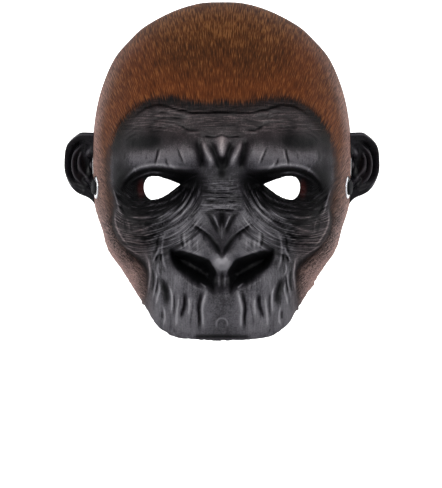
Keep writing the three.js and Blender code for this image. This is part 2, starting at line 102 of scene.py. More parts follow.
# Rounded forms of the face: name, across, up, half width, half height, lift, turn in degrees, and how flat
# the top is.
FORMS = [
    ("forehead", 0, 54.3, 69.9, 19.1, 3, 0, 2.5),
    ("brow outer", 52.6, 25.5, 30.9, 14.7, 12, -4, 3),
    ("brow inner", 25.4, 24.8, 11.8, 14.7, 9, 0, 3),
    ("brow end", 74, 11.6, 10.3, 19.1, 9, 12, 2.6),
    ("glabella", 0, 24.8, 14, 14, 7, 0, 3),
    ("socket", 47.5, -3.2, 30.2, 14.7, -16, 6, 6),
    ("inner corner", 23.2, 2.7, 11, 8.8, -9, -24, 3),
    ("lid top", 50.4, 4.2, 19.1, 6.6, 4, 6, 2.5),
    ("lid low", 51.2, -12.7, 19.1, 5.2, 3.5, 2, 2.5),
    ("bridge", 0, -3.2, 11, 19.1, 4, 0, 2.6),
    ("cheek bone", 66.6, -31.1, 14.7, 19.1, 9, -14, 2.6),
    ("under eye", 39.4, -22.3, 25, 7.4, 3, 16, 2.4),
    ("muzzle", 0, -71.6, 52.3, 40.5, 21, 0, 4),
    ("nose lobe", 14.4, -25.2, 14, 9.6, 9, -30, 3),
    ("nose wing", 18.8, -42.2, 16.2, 11, 14, -30, 3.4),
    ("wing root", 30.5, -38.5, 5.9, 10.3, 3, -10, 2.4),
    ("nose tip", 0, -53, 9.5, 7.4, 10, 0, 3),
    ("nose tip low", 0, -59.5, 5, 5.2, 7, 0, 3),
    ("column", 0, -69.4, 4.8, 8.8, -8, 0, 3),
    ("lip side", 45.3, -78.2, 13.2, 25, 4, 0, 2.5),
    ("muzzle puff", 29.1, -67.9, 13.2, 8.8, 3, 0, 2.5),
]

# Lighter and darker places of the face's colour, in the same columns with the change of tone for the lift.
# The raised parts are lighter as rubbed paint and in part as painted highlights, strongest on the brow's
# sheen, the upper lid and the nose tip; the upper brow, the brow's flank and the band under the eye are
# darker as painted shade.
TONES = [
    # Painted shade in the hollow above the brow.
    ("upper brow", 52, 33, 27, 7, -0.13, -4, 2),
    # Painted highlights on the brow.
    ("brow sheen", 62.9, 21.1, 19.9, 5.9, 0.3, 0, 3),
    ("inner brow sheen", 32.8, 21.1, 15.5, 8.8, 0.3, 0, 3),
    ("brow end", 82.3, 6, 2.4, 20, 0.16, 0, 2.5),
    # Painted shade on the brow's flank, which faces aside.
    ("brow flank", 76, 20, 8, 22, -0.26, 6, 2),
    ("forehead", 0, 48, 70, 9, -0.08, 0, 3),
    ("forehead strip", 39.4, 49.8, 26.5, 8.1, 0.05, 4, 3),
    ("glabella bump", 0, 28.5, 4.4, 6.6, 0.1, 0, 3),
    ("nose side", 28.3, -29.7, 14, 11.8, 0.2, 30, 2.5),
    ("nose lobe", 15.1, -24.5, 10.3, 6.6, 0.1, -28, 2.5),
    ("nose wing", 19.5, -44.4, 14, 7.4, 0.2, -28, 3),
    ("muzzle", 36, -70, 11, 9, 0.3, 0, 2.5),
    ("lip", 30.5, -95.9, 23.6, 17.7, 0.36, 0, 3),
    ("pad", 0, -92.9, 11.8, 17.7, 0.03, 0, 4),
    ("pad edge", 12.9, -81.9, 2.6, 7.4, 0.2, 0, 2.5),
    ("mouth side", 52.6, -84.1, 6.6, 19.1, 0.16, 0, 2.5),
    # Painted shade under the eye.
    ("under eye", 54.8, -17.9, 23, 6, -0.36, 8, 2.5),
    ("socket", 48, -2.4, 31, 15, -0.46, 6, 5),
    ("socket outer", 67, -1, 12, 12, -0.32, -14, 3),
    ("inner corner", 23.2, 2.7, 9.6, 6.6, -0.18, -24, 3),
    # Painted highlight along the upper lid.
    ("upper lid", 51.9, 9.7, 11, 1.4, 0.12, 2, 2.5),
    ("nostril ball", 17.5, -58.5, 6, 4.5, 0.16, -20, 2.5),
    # Painted highlight on the nose tip.
    ("nose tip", 0, -57.4, 7.2, 6.4, 0.95, 0, 2.6),
    ("nose fold low", 4, -45.1, 5.9, 2.2, -0.16, -42, 2.5),
    ("cheek", 58, -30, 22, 14, -0.06, 0, 2.5),
    ("muzzle groove", 41.6, -81.9, 2.9, 9.6, -0.16, 0, 2.5),
    ("column", 0, -70.5, 4.6, 7, -0.06, 0, 6),
]

# Folds and ridges of one half of the face: half width, lift, and the points of its line.
STROKES = [
    (1.2, -1.2, [(69.6, 46.2), (65.1, 51.3), (60, 55.7), (54.1, 58.7), (46.7, 60.1), (39.4, 58.7),
        (33.5, 56.5), (27.6, 55.4), (21.7, 53.9), (14.4, 53.9), (0, 54.3)]),
    (1, -0.7, [(57.8, 43.2), (52.6, 43.9), (45.3, 43.2), (39.4, 43.2)]),
    (1, -0.8, [(35, 46.2), (30.5, 44.7), (27.6, 42.8), (23.2, 41.2), (15.1, 41.2)]),
    (0.9, 0.4, [(28.3, 39.5), (21.7, 39.2), (13.6, 39.5)]),
    (0.8, -0.4, [(52.6, 53.5), (43.8, 54.3), (33.5, 52.8), (23.2, 50.6)]),
    (0.8, -0.4, [(55.6, 50.6), (45.3, 50.6), (34.2, 50.2), (22.4, 49.1)]),
    (0.8, -0.4, [(57.8, 47.3), (48.2, 48.7), (40.8, 47.3), (30.5, 47.6)]),
    (0.8, -0.4, [(54.8, 40.3), (46.7, 41), (39.4, 40.3)]),
    (1, -0.4, [(74, 36.6), (68.8, 40.3), (62.2, 43.9)]),
    (1, -0.4, [(72.5, 32.9), (67.3, 37.3), (60.7, 40.3)]),
    (0.9, -0.9, [(15.8, 36), (11.4, 36.4), (7, 36), (3.3, 36.4), (0, 37.6)]),
    (7, -0.7, [(74, 33), (66, 32.4), (57, 32.6), (48, 34.4), (40, 35)]),
    (1.1, -1.3, [(46.7, 29.2), (47.5, 23.3), (48.9, 18.2), (49.7, 13.8)]),
    (1, 0.7, [(45.3, 28.5), (46, 22.6), (47.5, 18.2), (47.8, 13.8)]),
    (1, -1.1, [(41.6, 21.1), (40.8, 16.7), (38.6, 13.4)]),
    (1, 0.6, [(39.7, 20.4), (39, 17.5), (36.4, 13.8), (32, 10.8)]),
    (1.1, -1.3, [(33.5, 29.2), (31.3, 23.3), (29.4, 18.9), (28.3, 14.9)]),
    (1, 0.7, [(32, 28.5), (29.8, 23.3), (27.6, 18.2), (26.1, 13.8)]),
    (1, -0.5, [(55.6, 24.8), (56.3, 18.2)]),
    (1, -0.5, [(71.8, 26.3), (72.5, 18.9)]),
    (0.9, 0.6, [(65.9, 13.8), (64, 11.6), (63.7, 9.4)]),
    (2.9, -3.5, [(18, 36.6), (16.6, 26.3), (15.1, 18.2), (14.4, 9.4)]),
    (2.4, 1.6, [(15.8, 35.1), (13.6, 30), (11.4, 24.8), (8.5, 18.9), (6.3, 12.3)]),
    (2.6, -2.6, [(7.7, 34.4), (6.3, 27.8), (3.3, 20.4), (1.5, 10.1)]),
    (3.7, 1.4, [(0, 34.4), (0, 23.3)]),
    (3.7, -2, [(0, 18.9), (0, 7.9)]),
    (1.5, 1.5, [(16.6, 13), (26.1, 12.9), (34.2, 13.7), (45.3, 15.2), (55.6, 14.8), (64.4, 11.9),
        (73.2, 4), (77.6, -3.9)]),
    (1.5, -2.4, [(19, 9), (26.1, 9.2), (34.2, 10.2), (45.3, 11.8), (55.6, 11.2), (64.4, 8), (72, 0.6),
        (75, -6)]),
    (1, 1.3, [(79.5, -14), (79.8, -25), (77.6, -32.6), (72.5, -40.6), (66, -47)]),
    (1.6, 0.7, [(32, -46), (27, -47.4), (20, -49.6), (12, -52)]),
    (1.1, 1.1, [(68.8, 2), (63.7, 6), (58.5, 8.4), (52.6, 10.3), (46.7, 9.7), (40.8, 7.9)]),
    (1, -1, [(64.4, 3.5), (58.5, 6.4), (52.6, 8.2), (45.3, 8.2), (37.9, 6.4)]),
    (1, -1.1, [(57.8, -10.1), (52.6, -11.3), (46.7, -11), (40.8, -9), (35, -5.7), (29.8, -1.3),
        (26.1, 4.2)]),
    (1, 0.9, [(57, -12.7), (51.2, -13.5), (45.3, -12.7), (39.4, -10.7), (33.5, -7.2), (27.6, -1.7),
        (23.9, 4.2)]),
    (1.1, -1.2, [(60.7, -14.6), (54.8, -15.7), (48.9, -16), (41.6, -14.2), (34.2, -10.1), (28.3, -4.8),
        (23.2, 2), (20.2, 6.4)]),
    (1, 0.8, [(62.2, -17.1), (54.8, -18.2), (46.7, -17.5), (40.1, -15.3), (33.5, -11.6)]),
    (1.1, -1, [(68.8, -17.9), (61.5, -20.3), (54.1, -20.3), (46.7, -19), (39.4, -16.4)]),
    (1, 0.7, [(70.3, -20.1), (62.9, -23), (54.1, -23), (45.3, -20.8)]),
    (1, -0.8, [(67.3, -24.5), (58.5, -26), (51.2, -24.7), (43.8, -22.3)]),
    (1, -1, [(29.8, 2.7), (26.1, 5.7), (21.7, 8.1), (16.6, 9)]),
    (1, -0.8, [(29.1, 0.5), (23.9, 3.8), (18, 7.1)]),
    (0.9, 0.5, [(29.8, 1.3), (24.7, 5.1), (18, 8.2)]),
    (1, 1.1, [(18, 6.4), (21, -0.9), (24.7, -8.3), (28.3, -14.2), (33.5, -19.3), (39.4, -23.8)]),
    (1, 1.1, [(14.7, 2), (18, -4.6), (22.4, -12.7), (26.1, -17.9), (31.3, -23), (37.9, -27.1),
        (46.7, -31.1)]),
    (0.9, 0.8, [(21.3, 3.5), (24.3, -3.2), (28, -9), (32.8, -14.6), (39.4, -19.3)]),
    (1, -1.2, [(16.2, 4.9), (19.5, -2.4), (23.6, -10.5), (27.2, -16), (32.4, -21.2)]),
    (1, -1.2, [(19.5, 6.4), (22.8, -1.7), (26.5, -8.7), (30.9, -14.4), (37.2, -19)]),
    (0.9, -0.9, [(13.6, -1.7), (17.3, -8.3), (21.3, -15.3), (26.1, -20.5)]),
    (1.6, -2, [(48.9, -32.2), (44.5, -29.7), (40.1, -27.4), (35, -24.5)]),
    (1.1, -0.9, [(58.5, -29.7), (51.2, -27.1), (44.5, -24.9)]),
    (1, 0.8, [(69.6, -33.7), (63.7, -33.3), (56.3, -31.3), (46.7, -27.4)]),
    (1.1, -0.8, [(68.8, -36.3), (60, -37), (51.2, -33.3)]),
    (1.5, -1, [(62.9, -40), (54.1, -38.5), (48.2, -34.1)]),
    (1, 1.2, [(82.1, -0.2), (79.5, -7.6), (77.6, -14.2), (76.2, -18.6), (73.2, -23)]),
    (1.2, -1.5, [(75.4, -12), (74, -17.1), (70.3, -21.6)]),
    (1, 0.6, [(71, -22.3), (68.8, -29.7), (68.8, -35.5)]),
    (1, -0.6, [(73.2, -23), (71.8, -30.4), (69.6, -37.7)]),
    (1.9, -2.2, [(82.8, 1.3), (83.9, -7.6), (82.1, -16.4), (82.8, -26.7), (79.9, -35.5), (74.7, -43.6),
        (66.6, -51.7), (58.5, -57.6), (55.9, -63.5), (55.6, -73.8), (57, -84.1), (58.5, -90)]),
    (1.2, 1.3, [(57.8, -49.5), (54.8, -53.9), (53.4, -60.6), (53.1, -66.5), (54.1, -74.5), (55.2, -82.6)]),
    (1, 0.8, [(80.6, -31.1), (77.6, -38.5), (72.5, -44.4), (65.1, -48.8), (58.5, -52.5)]),
    (0.9, -0.5, [(12.9, 2), (7, -0.2), (0, 0.5)]),
    (0.9, -0.5, [(12.1, -3.2), (6.3, -5.7), (0, -5)]),
    (0.9, -0.6, [(13.6, -7.6), (8.5, -9.8), (0, -8.7)]),
    (0.9, -0.6, [(14.4, -11.6), (9.2, -11.6), (4, -12.9), (0, -12.9)]),
    (0.9, 0.6, [(16.6, -14.9), (11.4, -14.2), (5.5, -14.9), (0, -14.9)]),
    (0.9, 0.7, [(12.9, -18.6), (8.5, -16.8), (0, -16.6)]),
    (0.9, -0.6, [(9.2, -18.6), (4.8, -18.3), (0, -18.6)]),
    (1.5, -2.2, [(11.4, -18.6), (8.5, -22.7), (6.3, -27.1), (3.3, -33), (1.5, -37)]),
    (1.1, 1, [(7, -20.5), (4, -26.7), (2.1, -32.6)]),
    (2.6, -1.5, [(0, -20.8), (0, -28.2)]),
    (0.7, 1.8, [(0, -28.2), (0, -38.9)]),
    (1.5, -3, [(24.3, -27.1), (20.2, -29.7), (16.6, -32.2), (12.9, -34.8), (9.2, -38.1), (5.5, -42.2),
        (3, -46.6), (0, -52.4)]),
    (1, 0.9, [(23.2, -26), (17.3, -30), (12.9, -33), (8.5, -36.6)]),
    (1.2, -1.6, [(28.9, -32.6), (29.8, -38.5), (28.6, -44.4), (26.9, -48.1)]),
    (1.1, 1.2, [(27.2, -33.3), (27.6, -39.2), (26.1, -46.6)]),
    (1, 0.6, [(24.3, -38.5), (23.9, -48.1)]),
    (1, -0.6, [(22.1, -37), (21.7, -47.3)]),
    (1, 0.6, [(18, -37.7), (17.7, -48.8)]),
    (1, -0.6, [(13.6, -34.8), (12.9, -40.7)]),
    (0.9, 0.5, [(2.2, -63.5), (2.2, -76)]),
    (0.9, -0.5, [(0, -63.5), (0, -75.3)]),
    (1.3, 1.8, [(40.8, -31.9), (43.1, -38.5), (44.2, -46.6), (43.6, -53.2), (42, -59.1), (39.4, -64.2)]),
    (1.2, -1.4, [(45.3, -34.1), (47.5, -40), (48.2, -45.8), (50.8, -51.7)]),
    (1.1, 1.2, [(45.3, -43.6), (47.5, -48.8), (49.7, -53.2), (51.5, -57.6)]),
    (1.3, -1.8, [(44.7, -49.5), (45, -56.1)]),
    (1, -1.2, [(47.5, -51.7), (49.3, -56.1)]),
    (1.1, 0.9, [(46.7, -56.1), (47.5, -62), (45.3, -67.2)]),
    (1.1, 1.2, [(49.3, -60.6), (48.2, -68.7), (49.7, -76.8), (51.2, -84.9)]),
    (1.1, -1.3, [(51.5, -60.6), (50.4, -70.1), (51.9, -79)]),
    (1.2, 1.3, [(46.7, -69.4), (46, -76.8), (47.5, -82.6), (48.9, -89.3)]),
    (1.1, -1, [(47.5, -65.7), (47.7, -73.1), (49.3, -81.2)]),
    (2.4, -2.4, [(45.3, -66.5), (42.3, -73.8), (40.5, -81.2), (40.8, -90)]),
    (1.1, 1.3, [(43.8, -87.1), (42.3, -92.9), (42.3, -98.8), (43.8, -104.7)]),
    (1, -0.9, [(44.2, -91.5), (44.2, -98.8)]),
    (1.1, 1, [(39.4, -71.6), (37.2, -79), (36.8, -87.1), (37.9, -95.2)]),
    (1, -0.9, [(35, -76.8), (35, -87.1), (35.3, -97.4)]),
    (1.3, 1.2, [(32, -77.5), (32, -85.6), (33.1, -94.4), (33.9, -106.2)]),
    (1.5, -2.8, [(28, -77.5), (26.9, -83.4), (27.6, -89.3), (29.1, -93.7), (29.4, -100.3)]),
    (1.2, 1, [(24.7, -81.2), (23.9, -87.8), (25, -95.9)]),
    (1, -0.7, [(21.7, -81.9), (21.3, -89.3), (23.2, -98.8), (23.2, -106.9)]),
    (1.6, -2.4, [(12.9, -74.5), (15.5, -81.9), (16.9, -89.3), (16.3, -97.4), (16.6, -109.1)]),
    (1.5, 1.8, [(11, -75.3), (12.9, -82.6), (14.4, -90), (14.1, -98.8), (14, -108.4)]),
    (1.1, 1.2, [(16.6, -70.9), (13.6, -73.1), (11, -75.3)]),
    (1, 0.7, [(4, -104.7), (3.8, -99.9), (1.8, -97.6), (0, -97.4)]),
    (1, -0.6, [(35.7, -104.7), (34.2, -109.9)]),
    (1.5, -1.2, [(23.2, -111), (12.1, -111.1), (0, -110.8)]),
]

# Places with a drawn edge: the change of tone, the lift, how many millimetres in from the edge it is reached,
# and the edge's points. The one place is the nostril, its dark tone painted shade in the hollow.
AREAS = [
    (-0.8, -19, 6, [(37.4, -47), (31, -48.2), (23.2, -49.8), (15.8, -52.4), (9.9, -54.8), (7.4, -58.2),
        (4.4, -63.2), (4, -69), (4.4, -74), (6.4, -78.6), (10.4, -75), (15.5, -73.6), (21.5, -71),
        (29.5, -65), (35.5, -58.4), (38.4, -51.6)]),
]

# Edge of the hair, from the middle of the forehead round to the lip.
HAIRLINE = [
    (0, 63.4), (8.5, 62.4), (15.8, 62.6), (23.2, 63.7), (30.5, 64.9), (37.9, 66.2), (45.3, 66.6),
    (52.6, 65.3), (60, 62.3), (67.3, 57.6), (73.2, 52), (77.6, 45.4), (81, 38.1), (82.9, 29.2),
    (83.8, 18.9), (84.3, 8.6), (83.1, -0.2), (81, -8.3), (81.7, -17.1), (82.8, -26), (81.3, -33.3),
    (76.9, -41.4), (70.3, -49.5), (62.9, -55.4), (57.8, -61.3), (56.1, -67.9), (55.9, -75.3), (57, -83.4),
    (60, -92.9), (61.5, -100.3),
]

# Light and dark areas of the hair.
HAIR_TONES = [
    ("crown", 0, 128, 70, 22, 0.08, 0, 3),
    ("middle", 0, 92, 60, 18, -0.2, 0, 3),
    ("hairline", 0, 69, 64, 6, -0.06, 0, 3),
    ("temple", 84, 60, 14, 22, 0.02, 0, 3),
]

# Reddish areas of the hair.
RUST = [
    ("upper side", 66, 98, 20, 16, 0.8, 30, 2.5),
    ("middle", 0, 92, 12, 10, 0.3, 0, 2.5),
]

# An ear in its own plane: out from the root, up.
EAR_OUTLINE = [
    (-7, 37), (-3, 40.6), (2.3, 41.7), (6.8, 42), (14.1, 42.1), (18.6, 40.2), (23.2, 37.1), (26.8, 33.3),
    (28.6, 28.7), (29.3, 22.6), (29.4, 15), (28.2, 9.7), (25, 2.8), (19.5, -2.9), (14.1, -5.6), (8.6, -7.5),
    (4.1, -10.1), (0.5, -13.9), (-1.6, -16.6), (-5, -16.5), (-7.5, -12), (-8, 0), (-8, 15), (-8, 28),
]
EAR_FORMS = [
    ("concha", 10, 15.8, 6.6, 12.5, -7.5, 0, 3),
    ("curl", 7.5, 17.3, 1.9, 3.2, 3.6, 0, 2.5),
    ("crus", 7.3, 26.2, 4.2, 3.2, 3.4, 0, 2.5),
    ("tragus", 2.5, 15.8, 2.4, 7, -2.5, 0, 3),
    ("upper bowl", 10.5, 30.3, 6, 3.5, -1.6, 0, 2.5),
    ("lobe", 8.6, -2.5, 9, 7, -0.8, 0, 2.5),
]
EAR_STROKES = [
    (2, 2.6, [(2.3, 38.3), (8.6, 39.4), (14.1, 39.4), (18.6, 37.1), (22.7, 33.7), (25.5, 29.5),
        (26.5, 22.6), (26.5, 15), (25.2, 9.7), (21.8, 4), (16.8, -0.2), (12.3, -2.5), (7.7, -4.4)]),
    (1.5, -2.6, [(5.9, 34.8), (12.3, 35.6), (16.8, 33.3), (20, 30.3), (22.1, 26.4), (22.9, 21.1),
        (22.9, 15), (21.5, 9.7), (18.6, 5.1), (15, 1.7)]),
    (1.6, 2.4, [(13.2, 32.2), (17.7, 27.6), (20.2, 21.1), (20.2, 15), (18.8, 9.7), (15.5, 4.7),
        (11.4, 0.9)]),
    (0.9, -1.2, [(14.1, 29.5), (17, 24.9), (18.4, 19.6), (18.1, 14.2), (16.3, 9.3)]),
    (1.1, 1.4, [(12.7, 27.6), (15.7, 23.4), (16.8, 17.3), (16.1, 12), (13.6, 7.8)]),
    (1.1, -2.4, [(11.8, 22.2), (9.1, 23.2), (5.9, 24.8)]),
    (1.4, 2.2, [(14.6, 6.6), (8.6, 5), (2.3, 2.4)]),
    (1.2, -1, [(12.3, 2.4), (7.7, 0.5), (3.2, -2.1)]),
]
# Thin lines along the ear's ridges: they lift a little, and their light tone is a painted highlight.
EAR_LINES = [
    (1, 0.8, [(10.5, 35), (13.6, 32.4), (18, 27.6), (20.4, 21.1), (20.4, 15), (19, 9.7), (15.7, 4.9),
        (10.5, 0.6)]),
    (1, 0.9, [(12.4, 29.6), (15.7, 24.4), (16.9, 18.6), (15.6, 12.7), (11.8, 7.6), (7.6, 5.3), (3, 5)]),
    (1.3, 0.6, [(-2, 39.6), (6.4, 40.4), (14.1, 40.2), (19.2, 37.6), (23.6, 33.8)]),
    (1, 0.4, [(26, 29.5), (27.4, 22.6), (27.2, 14), (25, 7.6), (21, 2.4), (15, -1.6)]),
]
# Tone of places on the ear: the curl and the crus lighter as painted light, the bowl darker as painted shade,
# the root a little lighter.
EAR_TONES = [
    ("curl", 7.6, 17.3, 2.4, 2.8, 0.65, 0, 2.5),
    ("crus", 8.2, 26.4, 4.6, 2.4, 0.6, 40, 2.5),
    ("bowl", 10.5, 16, 6, 10, -0.14, 0, 3),
    ("root", 1.5, 35, 5, 5, 0.1, 0, 2.5),
]


def noise(u, v, seed):
    """Random field from -1 to 1: a value on each corner of a unit grid, with 3t^2 - 2t^3 between corners."""
    grid = np.random.default_rng(seed).uniform(-1, 1, (NOISE_CELLS, NOISE_CELLS))
    i, j = np.floor(u).astype(int), np.floor(v).astype(int)
    s, t = u - i, v - j
    s, t = s * s * (3 - 2 * s), t * t * (3 - 2 * t)
    i, j = i % NOISE_CELLS, j % NOISE_CELLS
    k, m = (i + 1) % NOISE_CELLS, (j + 1) % NOISE_CELLS
    low, high = grid[i, j] * (1 - s) + grid[k, j] * s, grid[i, m] * (1 - s) + grid[k, m] * s
    return low * (1 - t) + high * t


def ease(value, low, high):
    """0 below low, 1 above high, 3t^2 - 2t^3 between."""
    t = np.clip((value - low) / (high - low), 0, 1)
    return t * t * (3 - 2 * t)


def smooth_path(points, steps=5, power=0.0):
    """Cubic spline through the points, each with the slope of its neighbours. With power 0 every span counts
    the same, and with 0.5 it counts as the root of its length."""
    p = np.asarray(points, float)
    p = np.vstack([2 * p[0] - p[1], p, 2 * p[-1] - p[-2]])
    gap = np.linalg.norm(np.diff(p, axis=0), axis=1) ** power
    a, b, c, d = p[:-3], p[1:-2], p[2:-1], p[3:]
    r, s, t = gap[:-2, None], gap[1:-1, None], gap[2:, None]
    start = s * ((b - a) / r - (c - a) / (r + s) + (c - b) / s)
    end = s * ((c - b) / s - (d - b) / (s + t) + (d - c) / t)
    w = (np.arange(steps) / steps)[None, :, None]
    b, c, start, end = b[:, None], c[:, None], start[:, None], end[:, None]
    body = b + start * w + (3 * (c - b) - 2 * start - end) * w**2 + (2 * (b - c) + start + end) * w**3
    return np.vstack([body.reshape(-1, p.shape[1]), p[-2:-1]])


def to_path(path, u, v):
    """Distance from each (u, v) to the path, and the share of its length where it is nearest."""
    length = np.r_[0, np.cumsum(np.hypot(*np.diff(path, axis=0).T))]
    near = np.full(u.shape, np.inf)
    share = np.zeros(u.shape)
    for (a, b), (c, d), start, end in zip(path[:-1], path[1:], length[:-1], length[1:]):
        t = np.clip(((u - a) * (c - a) + (v - b) * (d - b)) / ((end - start) ** 2 + 1e-9), 0, 1)
        away = np.hypot(u - a - t * (c - a), v - b - t * (d - b))
        share = np.where(away < near, (start + t * (end - start)) / length[-1], share)
        near = np.minimum(near, away)
    return near, share


def blobs(table, u, v):
    """Sum of height * exp(-r^flat) over the table's turned ellipses, where r is 1 on an ellipse's edge."""
    total = np.zeros(u.shape)
    for _, a, b, wide, high, height, turn, flat in table:
        c, s = math.cos(math.radians(turn)), math.sin(math.radians(turn))
        r = np.hypot(((u - a) * c - (v - b) * s) / wide, ((u - a) * s + (v - b) * c) / high)
        total += height * np.exp(-(r**flat))
    return total


def strokes(table, u, v):
    """Sum of height * exp(-(distance / width)^2) over the table's lines, thinned to nothing towards the
    ends that lie off the middle plane. The second result is the same sum with each height held between -1
    and 1, as a measure of light and dark."""
    total, shade = np.zeros(u.shape), np.zeros(u.shape)
    for width, height, points in table:
        path = smooth_path(points)
        reach = 3 * width
        (a, b), (c, d) = path.min(axis=0) - reach, path.max(axis=0) + reach
        here = (u > a) & (u < c) & (v > b) & (v < d)
        away, share = to_path(path, u[here], v[here])
        width = width * (THIN_SHARE if width < THIN_LINE else WIDE_SHARE)
        ends = ease(share, 0, TAPER) if points[0][0] > 0.5 else 1.0
        ends = ends * (ease(1 - share, 0, TAPER) if points[-1][0] > 0.5 else 1.0)
        ridge = ends * np.exp(-((away / width) ** 2))
        total[here] += height * ridge
        shade[here] += max(-1.0, min(1.0, height)) * ridge
    return total, shade


def within(loop, u, v):
    """Whether each (u, v) is inside the closed loop: a level line from it crosses an odd number of sides."""
    odd = np.zeros(u.shape, bool)
    for (a, b), (c, d) in zip(loop, np.roll(loop, -1, axis=0)):
        if b != d:
            odd ^= ((b > v) != (d > v)) & (u < (c - a) * (v - b) / (d - b) + a)
    return odd


def rim_samples():
    """The rim's curve down one side, with each sample's direction from the pole."""
    rows = np.array(RIM)
    rise = np.where(rows[:, 0] > 0, CROWN_RISE, LIP_DROP)
    depth = CROWN_BACK * (1 - rows[:, 2]) - LIP_REACH * rows[:, 2]
    points = np.column_stack([rows[:, 1] * HALF_WIDTH, depth, rows[:, 0] * rise])
    mirror, steps = [-1, 1, 1], 30
    path = smooth_path(np.vstack([points[1] * mirror, points, points[-2] * mirror]), steps)[steps:-steps]
    return np.arctan2(path[:, 0], path[:, 2] - POLE), path


RIM_ANGLES, RIM_PATH = rim_samples()


def rim_towards(angle):
    """The rim's place in each direction from the pole."""
    return [np.interp(angle, RIM_ANGLES, RIM_PATH[:, k]) for k in range(3)]


def hair_distance(side, z):
    """Signed distance to the hair's edge: positive in the hair, negative on the bare face."""
    path, far_below = smooth_path(HAIRLINE), -300
    loop = np.vstack([path, [path[-1][0], far_below], [-1, far_below], [-1, path[0][1]]])
    away, _ = to_path(path, side, z)
    return np.where(within(loop, side, z), -away, away)


def areas(side, z):
    """Sums over the areas: the lift, which grows smoothly in from the edge, and the tone, painted shade in
    the hollow, which is crisp under an area's upper edge and beside the nose, and fades in lower down and at
    the outer end."""
    lift, tone = 0 * z, 0 * z
    for shade, height, depth, points in AREAS:
        loop = smooth_path([*points, points[0]], 4)[:-1]
        (left, bottom), (right, top) = loop.min(axis=0) - 3, loop.max(axis=0) + 3
        here = (side > left) & (side < right) & (z > bottom) & (z < top)
        u, v = side[here], z[here]
        away, _ = to_path(np.vstack([loop, loop[:1]]), u, v)
        deep = np.where(within(loop, u, v), away, -away)
        beneath, beside = ease(top - 3 - 0.25 * u - v, 0, 12), ease(14 - u, 0, 5) * ease(v, -68, -63)
        soft = np.maximum(beneath * (1 - beside), 0.8 * ease(u, 30, 37))
        lift[here] += height * ease(deep, -1 - 2 * soft, depth * (1 + 0.5 * soft))
        tone[here] += shade * ease(deep, -0.9 - soft, 0.6 + 5 * soft)
    return lift, tone


def strand_place(x, y, z):
    """Across and along the hairs, in millimetres: they fan out upwards from a point under the lip, and the
    way back over the crown counts in part."""
    return np.arctan2(x, z + FAN_DROP) * FAN_SPREAD, np.hypot(x, z + FAN_DROP) + 0.15 * y


def creases(u, v, seed):
    """0.4 - 1.4 * exp(-(f / 0.22)^2) for a random field f: thin folds along the lines where it is zero."""
    return 0.4 - 1.4 * np.exp(-((noise(u, v, seed) / 0.22) ** 2))


def flows(x, z):
    """How the fine folds run: for each direction its share at (x, z), and places across and along its folds
    in millimetres. They lie level on the forehead and the bridge, in rings round the eyes and across the
    cheeks, and upright on the brows and the muzzle."""
    side = np.abs(x)
    waver = 1.2 * noise(x * 0.07, z * 0.07, 51)
    forehead, bridge = ease(z, 37, 43), ease(18 - side, 0, 6) * ease(z, -24, -18) * ease(8 - z, 0, 5)
    eyes = ease(side, 12, 20) * ease(4 - z, 0, 8) * ease(z, -58, -44)
    muzzle, brow = ease(-z, 46, 58) * ease(side, 14, 19), ease(z, 10, 14) * ease(40 - z, 0, 6)
    return {
        "level": (0.55 * forehead + 0.85 * bridge, z + waver, x),
        "rings": (1.15 * eyes, np.hypot(side - 60, z - 10) + waver, 36 * np.arctan2(side - 60, 10 - z)),
        "upright": (0.25 * muzzle + 0.12 * brow, side + waver, z),
    }


def wrinkles(x, z):
    """The folds of each direction in two sizes."""
    total = 0 * x
    for seed, (share, across, along) in enumerate(flows(x, z).values()):
        wide = creases(across * 0.5, along * 0.05 + 9, 52 + seed)
        total += share * (wide + 0.65 * creases(across * 0.98, along * 0.085 + 9, 62 + seed))
    return total


def face_parts(x, z, sizes):
    """The forms at (x, z): how far they stand forward, and what the paint needs to know."""
    side = np.abs(x)
    lines, shade = strokes(STROKES, side, z)
    across, _ = strand_place(x, 0 * x, z)
    edge = hair_distance(side, z)
    hair = ease(edge, -1, 1)
    low = ease(-z, 52, 80)
    folds = low * noise(side * 0.42, z * 0.07, 3) * ease(side, 14, 22) * ease(62 - side, 0, 8)
    fine = wrinkles(x, z) * ease(-edge, 1, 4)
    grain = noise(x * 0.5, z * 0.46, 5) * 0.5 + noise(x * 0.23, z * 0.21, 6) * 0.6
    locks = hair * (0.2 * noise(across * 0.3, z * 0.04, 12) + 0.4 * noise(across * 0.1, z * 0.04, 7))
    relief = lines + (1 - hair) * (0.8 * folds + 0.52 * fine + 0.2 * grain)
    lift, area_tone = areas(side, z)
    forward = blobs(FORMS, side, z) + lift + sizes.crease * relief + sizes.hair_step / MM * hair + locks
    fringe = ease(edge, -11, -2) * ease(z, 20, 46)
    # The tone: the paint's own, with the grooves and fine folds darker partly as painted shade, and the
    # ridges lighter as rubbed paint.
    tone = np.maximum(PLAIN_TONE + blobs(TONES, side, z) + area_tone, -0.1)
    tone = tone + GROOVE_TONE * np.minimum(shade, 0) + RIDGE_TONE * np.maximum(shade, 0)
    tone = tone + 0.12 * folds + 0.21 * fine + 0.07 * grain - FRINGE_TONE * fringe
    return {"forward": forward, "tone": tone, "hair": hair, "edge": edge, "fringe": fringe}


def plain_depth(x, z):
    """How far back the plain shell lies at (x, z): from the rim it climbs as (1 - r^2.5)^0.55 towards the
    pole, r being the share of the way to the rim. The second result is r."""
    rim_x, rim_y, rim_z = rim_towards(np.arctan2(np.abs(x), z - POLE))
    share = np.clip(np.hypot(x, z - POLE) / np.hypot(rim_x, rim_z - POLE), 0, 1)
    return rim_y - (FACE_REACH + rim_y) * (1 - share**2.5) ** 0.55, share


def face_depth(x, z, sizes):
    """How far back the outer surface lies: the plain shell less the forms, which fade at the rim."""
    depth, share = plain_depth(x, z)
    return depth - face_parts(x, z, sizes)["forward"] * (1 - share**FORM_FADE)


